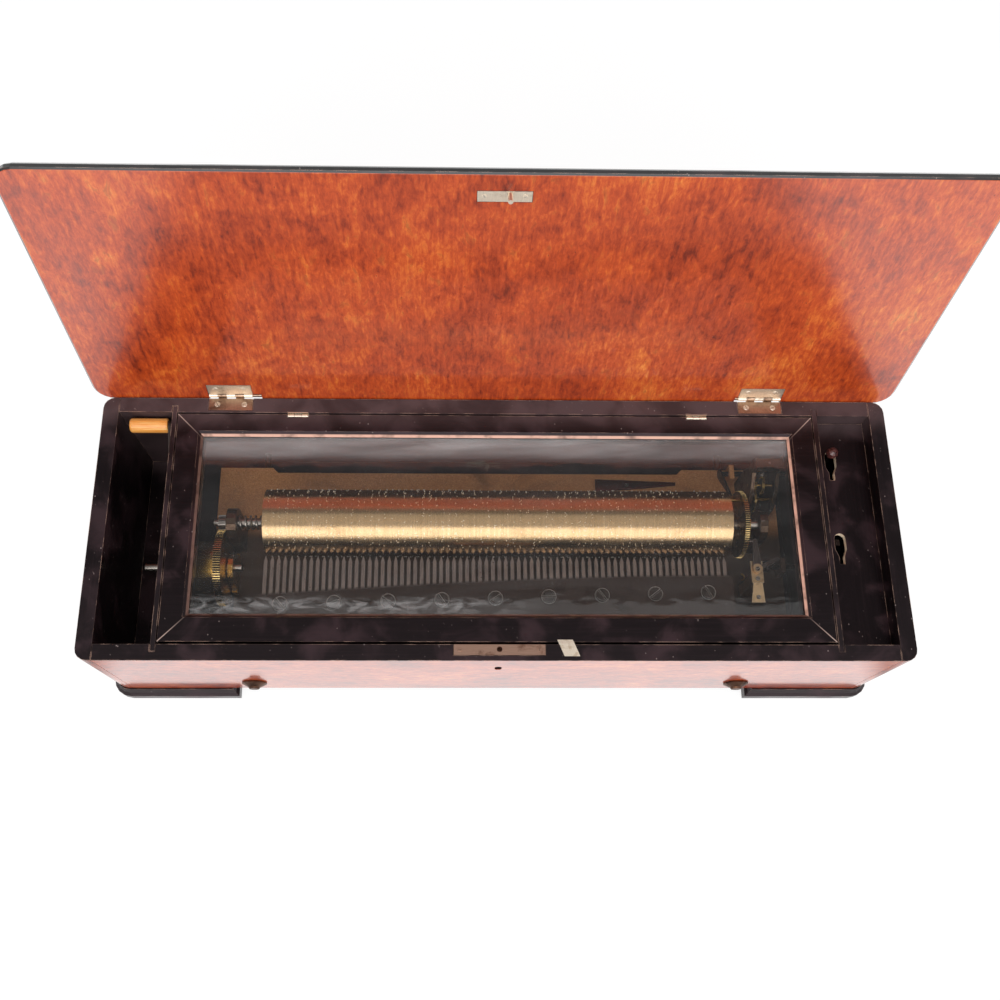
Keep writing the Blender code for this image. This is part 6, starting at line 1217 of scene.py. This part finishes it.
def floor_finish():
    finish = Finish("white floor", roughness=0.9)
    finish.set("Base Color", (0.8, 0.8, 0.8, 1.0))
    path = finish.node("ShaderNodeLightPath").outputs
    seen = finish.most(path["Is Camera Ray"], path["Is Transmission Ray"])
    seen = finish.most(seen, path["Is Glossy Ray"])
    glow = finish.node("ShaderNodeEmission")
    x, y, _ = finish.axes()
    beside = finish.fade(finish.unsigned(x), 0.3, 0.39, DIM_GLOW, END_GLOW)
    close = finish.fade(y, front_low.y - 0.09, front_low.y - 0.04, 0.0, CLOSE_GLOW)
    close = finish.times(close, finish.fade(finish.unsigned(x), 0.32, 0.28))
    shine = finish.most(beside, close)
    finish.feed(finish.choose(path["Is Glossy Ray"], EYE_GLOW, shine), glow.inputs["Strength"])
    pale = finish.node("ShaderNodeBsdfDiffuse")
    finish.feed((0.2, 0.2, 0.2, 1.0), pale.inputs["Color"])
    backdrop = finish.node("ShaderNodeAddShader")
    finish.feed(glow.outputs[0], backdrop.inputs[0])
    finish.feed(pale.outputs[0], backdrop.inputs[1])
    finish.show_instead(seen, backdrop.outputs[0])
    return finish


floor_shape = bmesh.new()
bmesh.ops.create_grid(floor_shape, x_segments=1, y_segments=1, size=FLOOR_SIZE / 2)
floor_mesh = bpy.data.meshes.new("floor")
floor_shape.to_mesh(floor_mesh)
floor_shape.free()
floor_mesh.materials.append(floor_finish().material)
floor = bpy.data.objects.new("floor", floor_mesh)
bpy.context.scene.collection.objects.link(floor)
print("floor is", FLOOR_SIZE, "m across")

# %% [markdown]
# The world is a plain white room for the camera. For shiny surfaces it is darker overhead than
# at the horizon, as a room with pale walls and a shaded ceiling is: that keeps the glass clear.

# %% World
world = bpy.data.worlds.new("soft room")
bpy.context.scene.world = world
world.use_nodes = True
sky = Graph(world.node_tree, "Generated")
height = sky.axes()[2]
for_gloss = sky.fade(height, 0.25, 0.9, 0.9, 0.14)
ray = sky.node("ShaderNodeLightPath").outputs
for_light = sky.choose(ray["Is Glossy Ray"], 0.64, for_gloss)
back = sky.tree.nodes["Background"]
sky.feed((1.0, 1.0, 1.0, 1.0), back.inputs["Color"])
sky.feed(sky.choose(ray["Is Camera Ray"], for_light, 1.0), back.inputs["Strength"])
print("world ready")

# %% [markdown]
# One wide soft lamp hangs above and a little in front of the box. It gives the front strip of the
# glass its grey haze, because that is where the glass shows the lamp to the camera. A second,
# brighter one stands lower and further in front, beyond the camera: the long bright band on the
# cylinder is its image.

# %% Lamps
def soft_lamp(name, place, size, aim, radiance):
    """A rectangular lamp whose face has the given brightness."""
    data = bpy.data.lights.new(name, "AREA")
    data.shape = "RECTANGLE"
    data.size, data.size_y = size
    data.energy = radiance * math.pi * size[0] * size[1]
    lamp = bpy.data.objects.new(name, data)
    lamp.location = place
    lamp.rotation_euler = (Vector(aim) - Vector(place)).to_track_quat("-Z", "Y").to_euler()
    lamp.visible_camera = False
    bpy.context.scene.collection.objects.link(lamp)
    print(name, "gives", round(data.energy, 2), "W")


soft_lamp(
    "overhead_lamp", place=(0.0, -0.205, 1.12), size=(1.5, 0.83), aim=(0.0, -0.205, 0.0), radiance=0.45
)
soft_lamp(
    "front_lamp", place=(0.0, -0.926, 0.848), size=(1.5, 0.75), aim=(0.0, 0.0, 0.08), radiance=2.4
)

# %% [markdown]
# ## The camera
#
# The camera hangs nearly above the front of the box and looks almost straight down, tipped 18
# degrees towards the lid. Its place, tilt and lens were solved from the case's corners in the
# photograph. The small shift is the crop.

# %% Camera
lens = bpy.data.cameras.new("camera")
lens.sensor_width = 36.0
lens.lens = 36.636
lens.shift_x = 0.02804
lens.shift_y = 0.05442
camera = bpy.data.objects.new("camera", lens)
camera.location = RIM + Vector((-0.03331, -0.23911, 0.66076))
camera.rotation_euler = [math.radians(v) for v in (18.2219, -1.2446, -0.2131)]
bpy.context.scene.collection.objects.link(camera)
bpy.context.scene.camera = camera
bpy.context.scene.view_settings.view_transform = "Standard"
print("camera at", [round(v, 4) for v in camera.location])
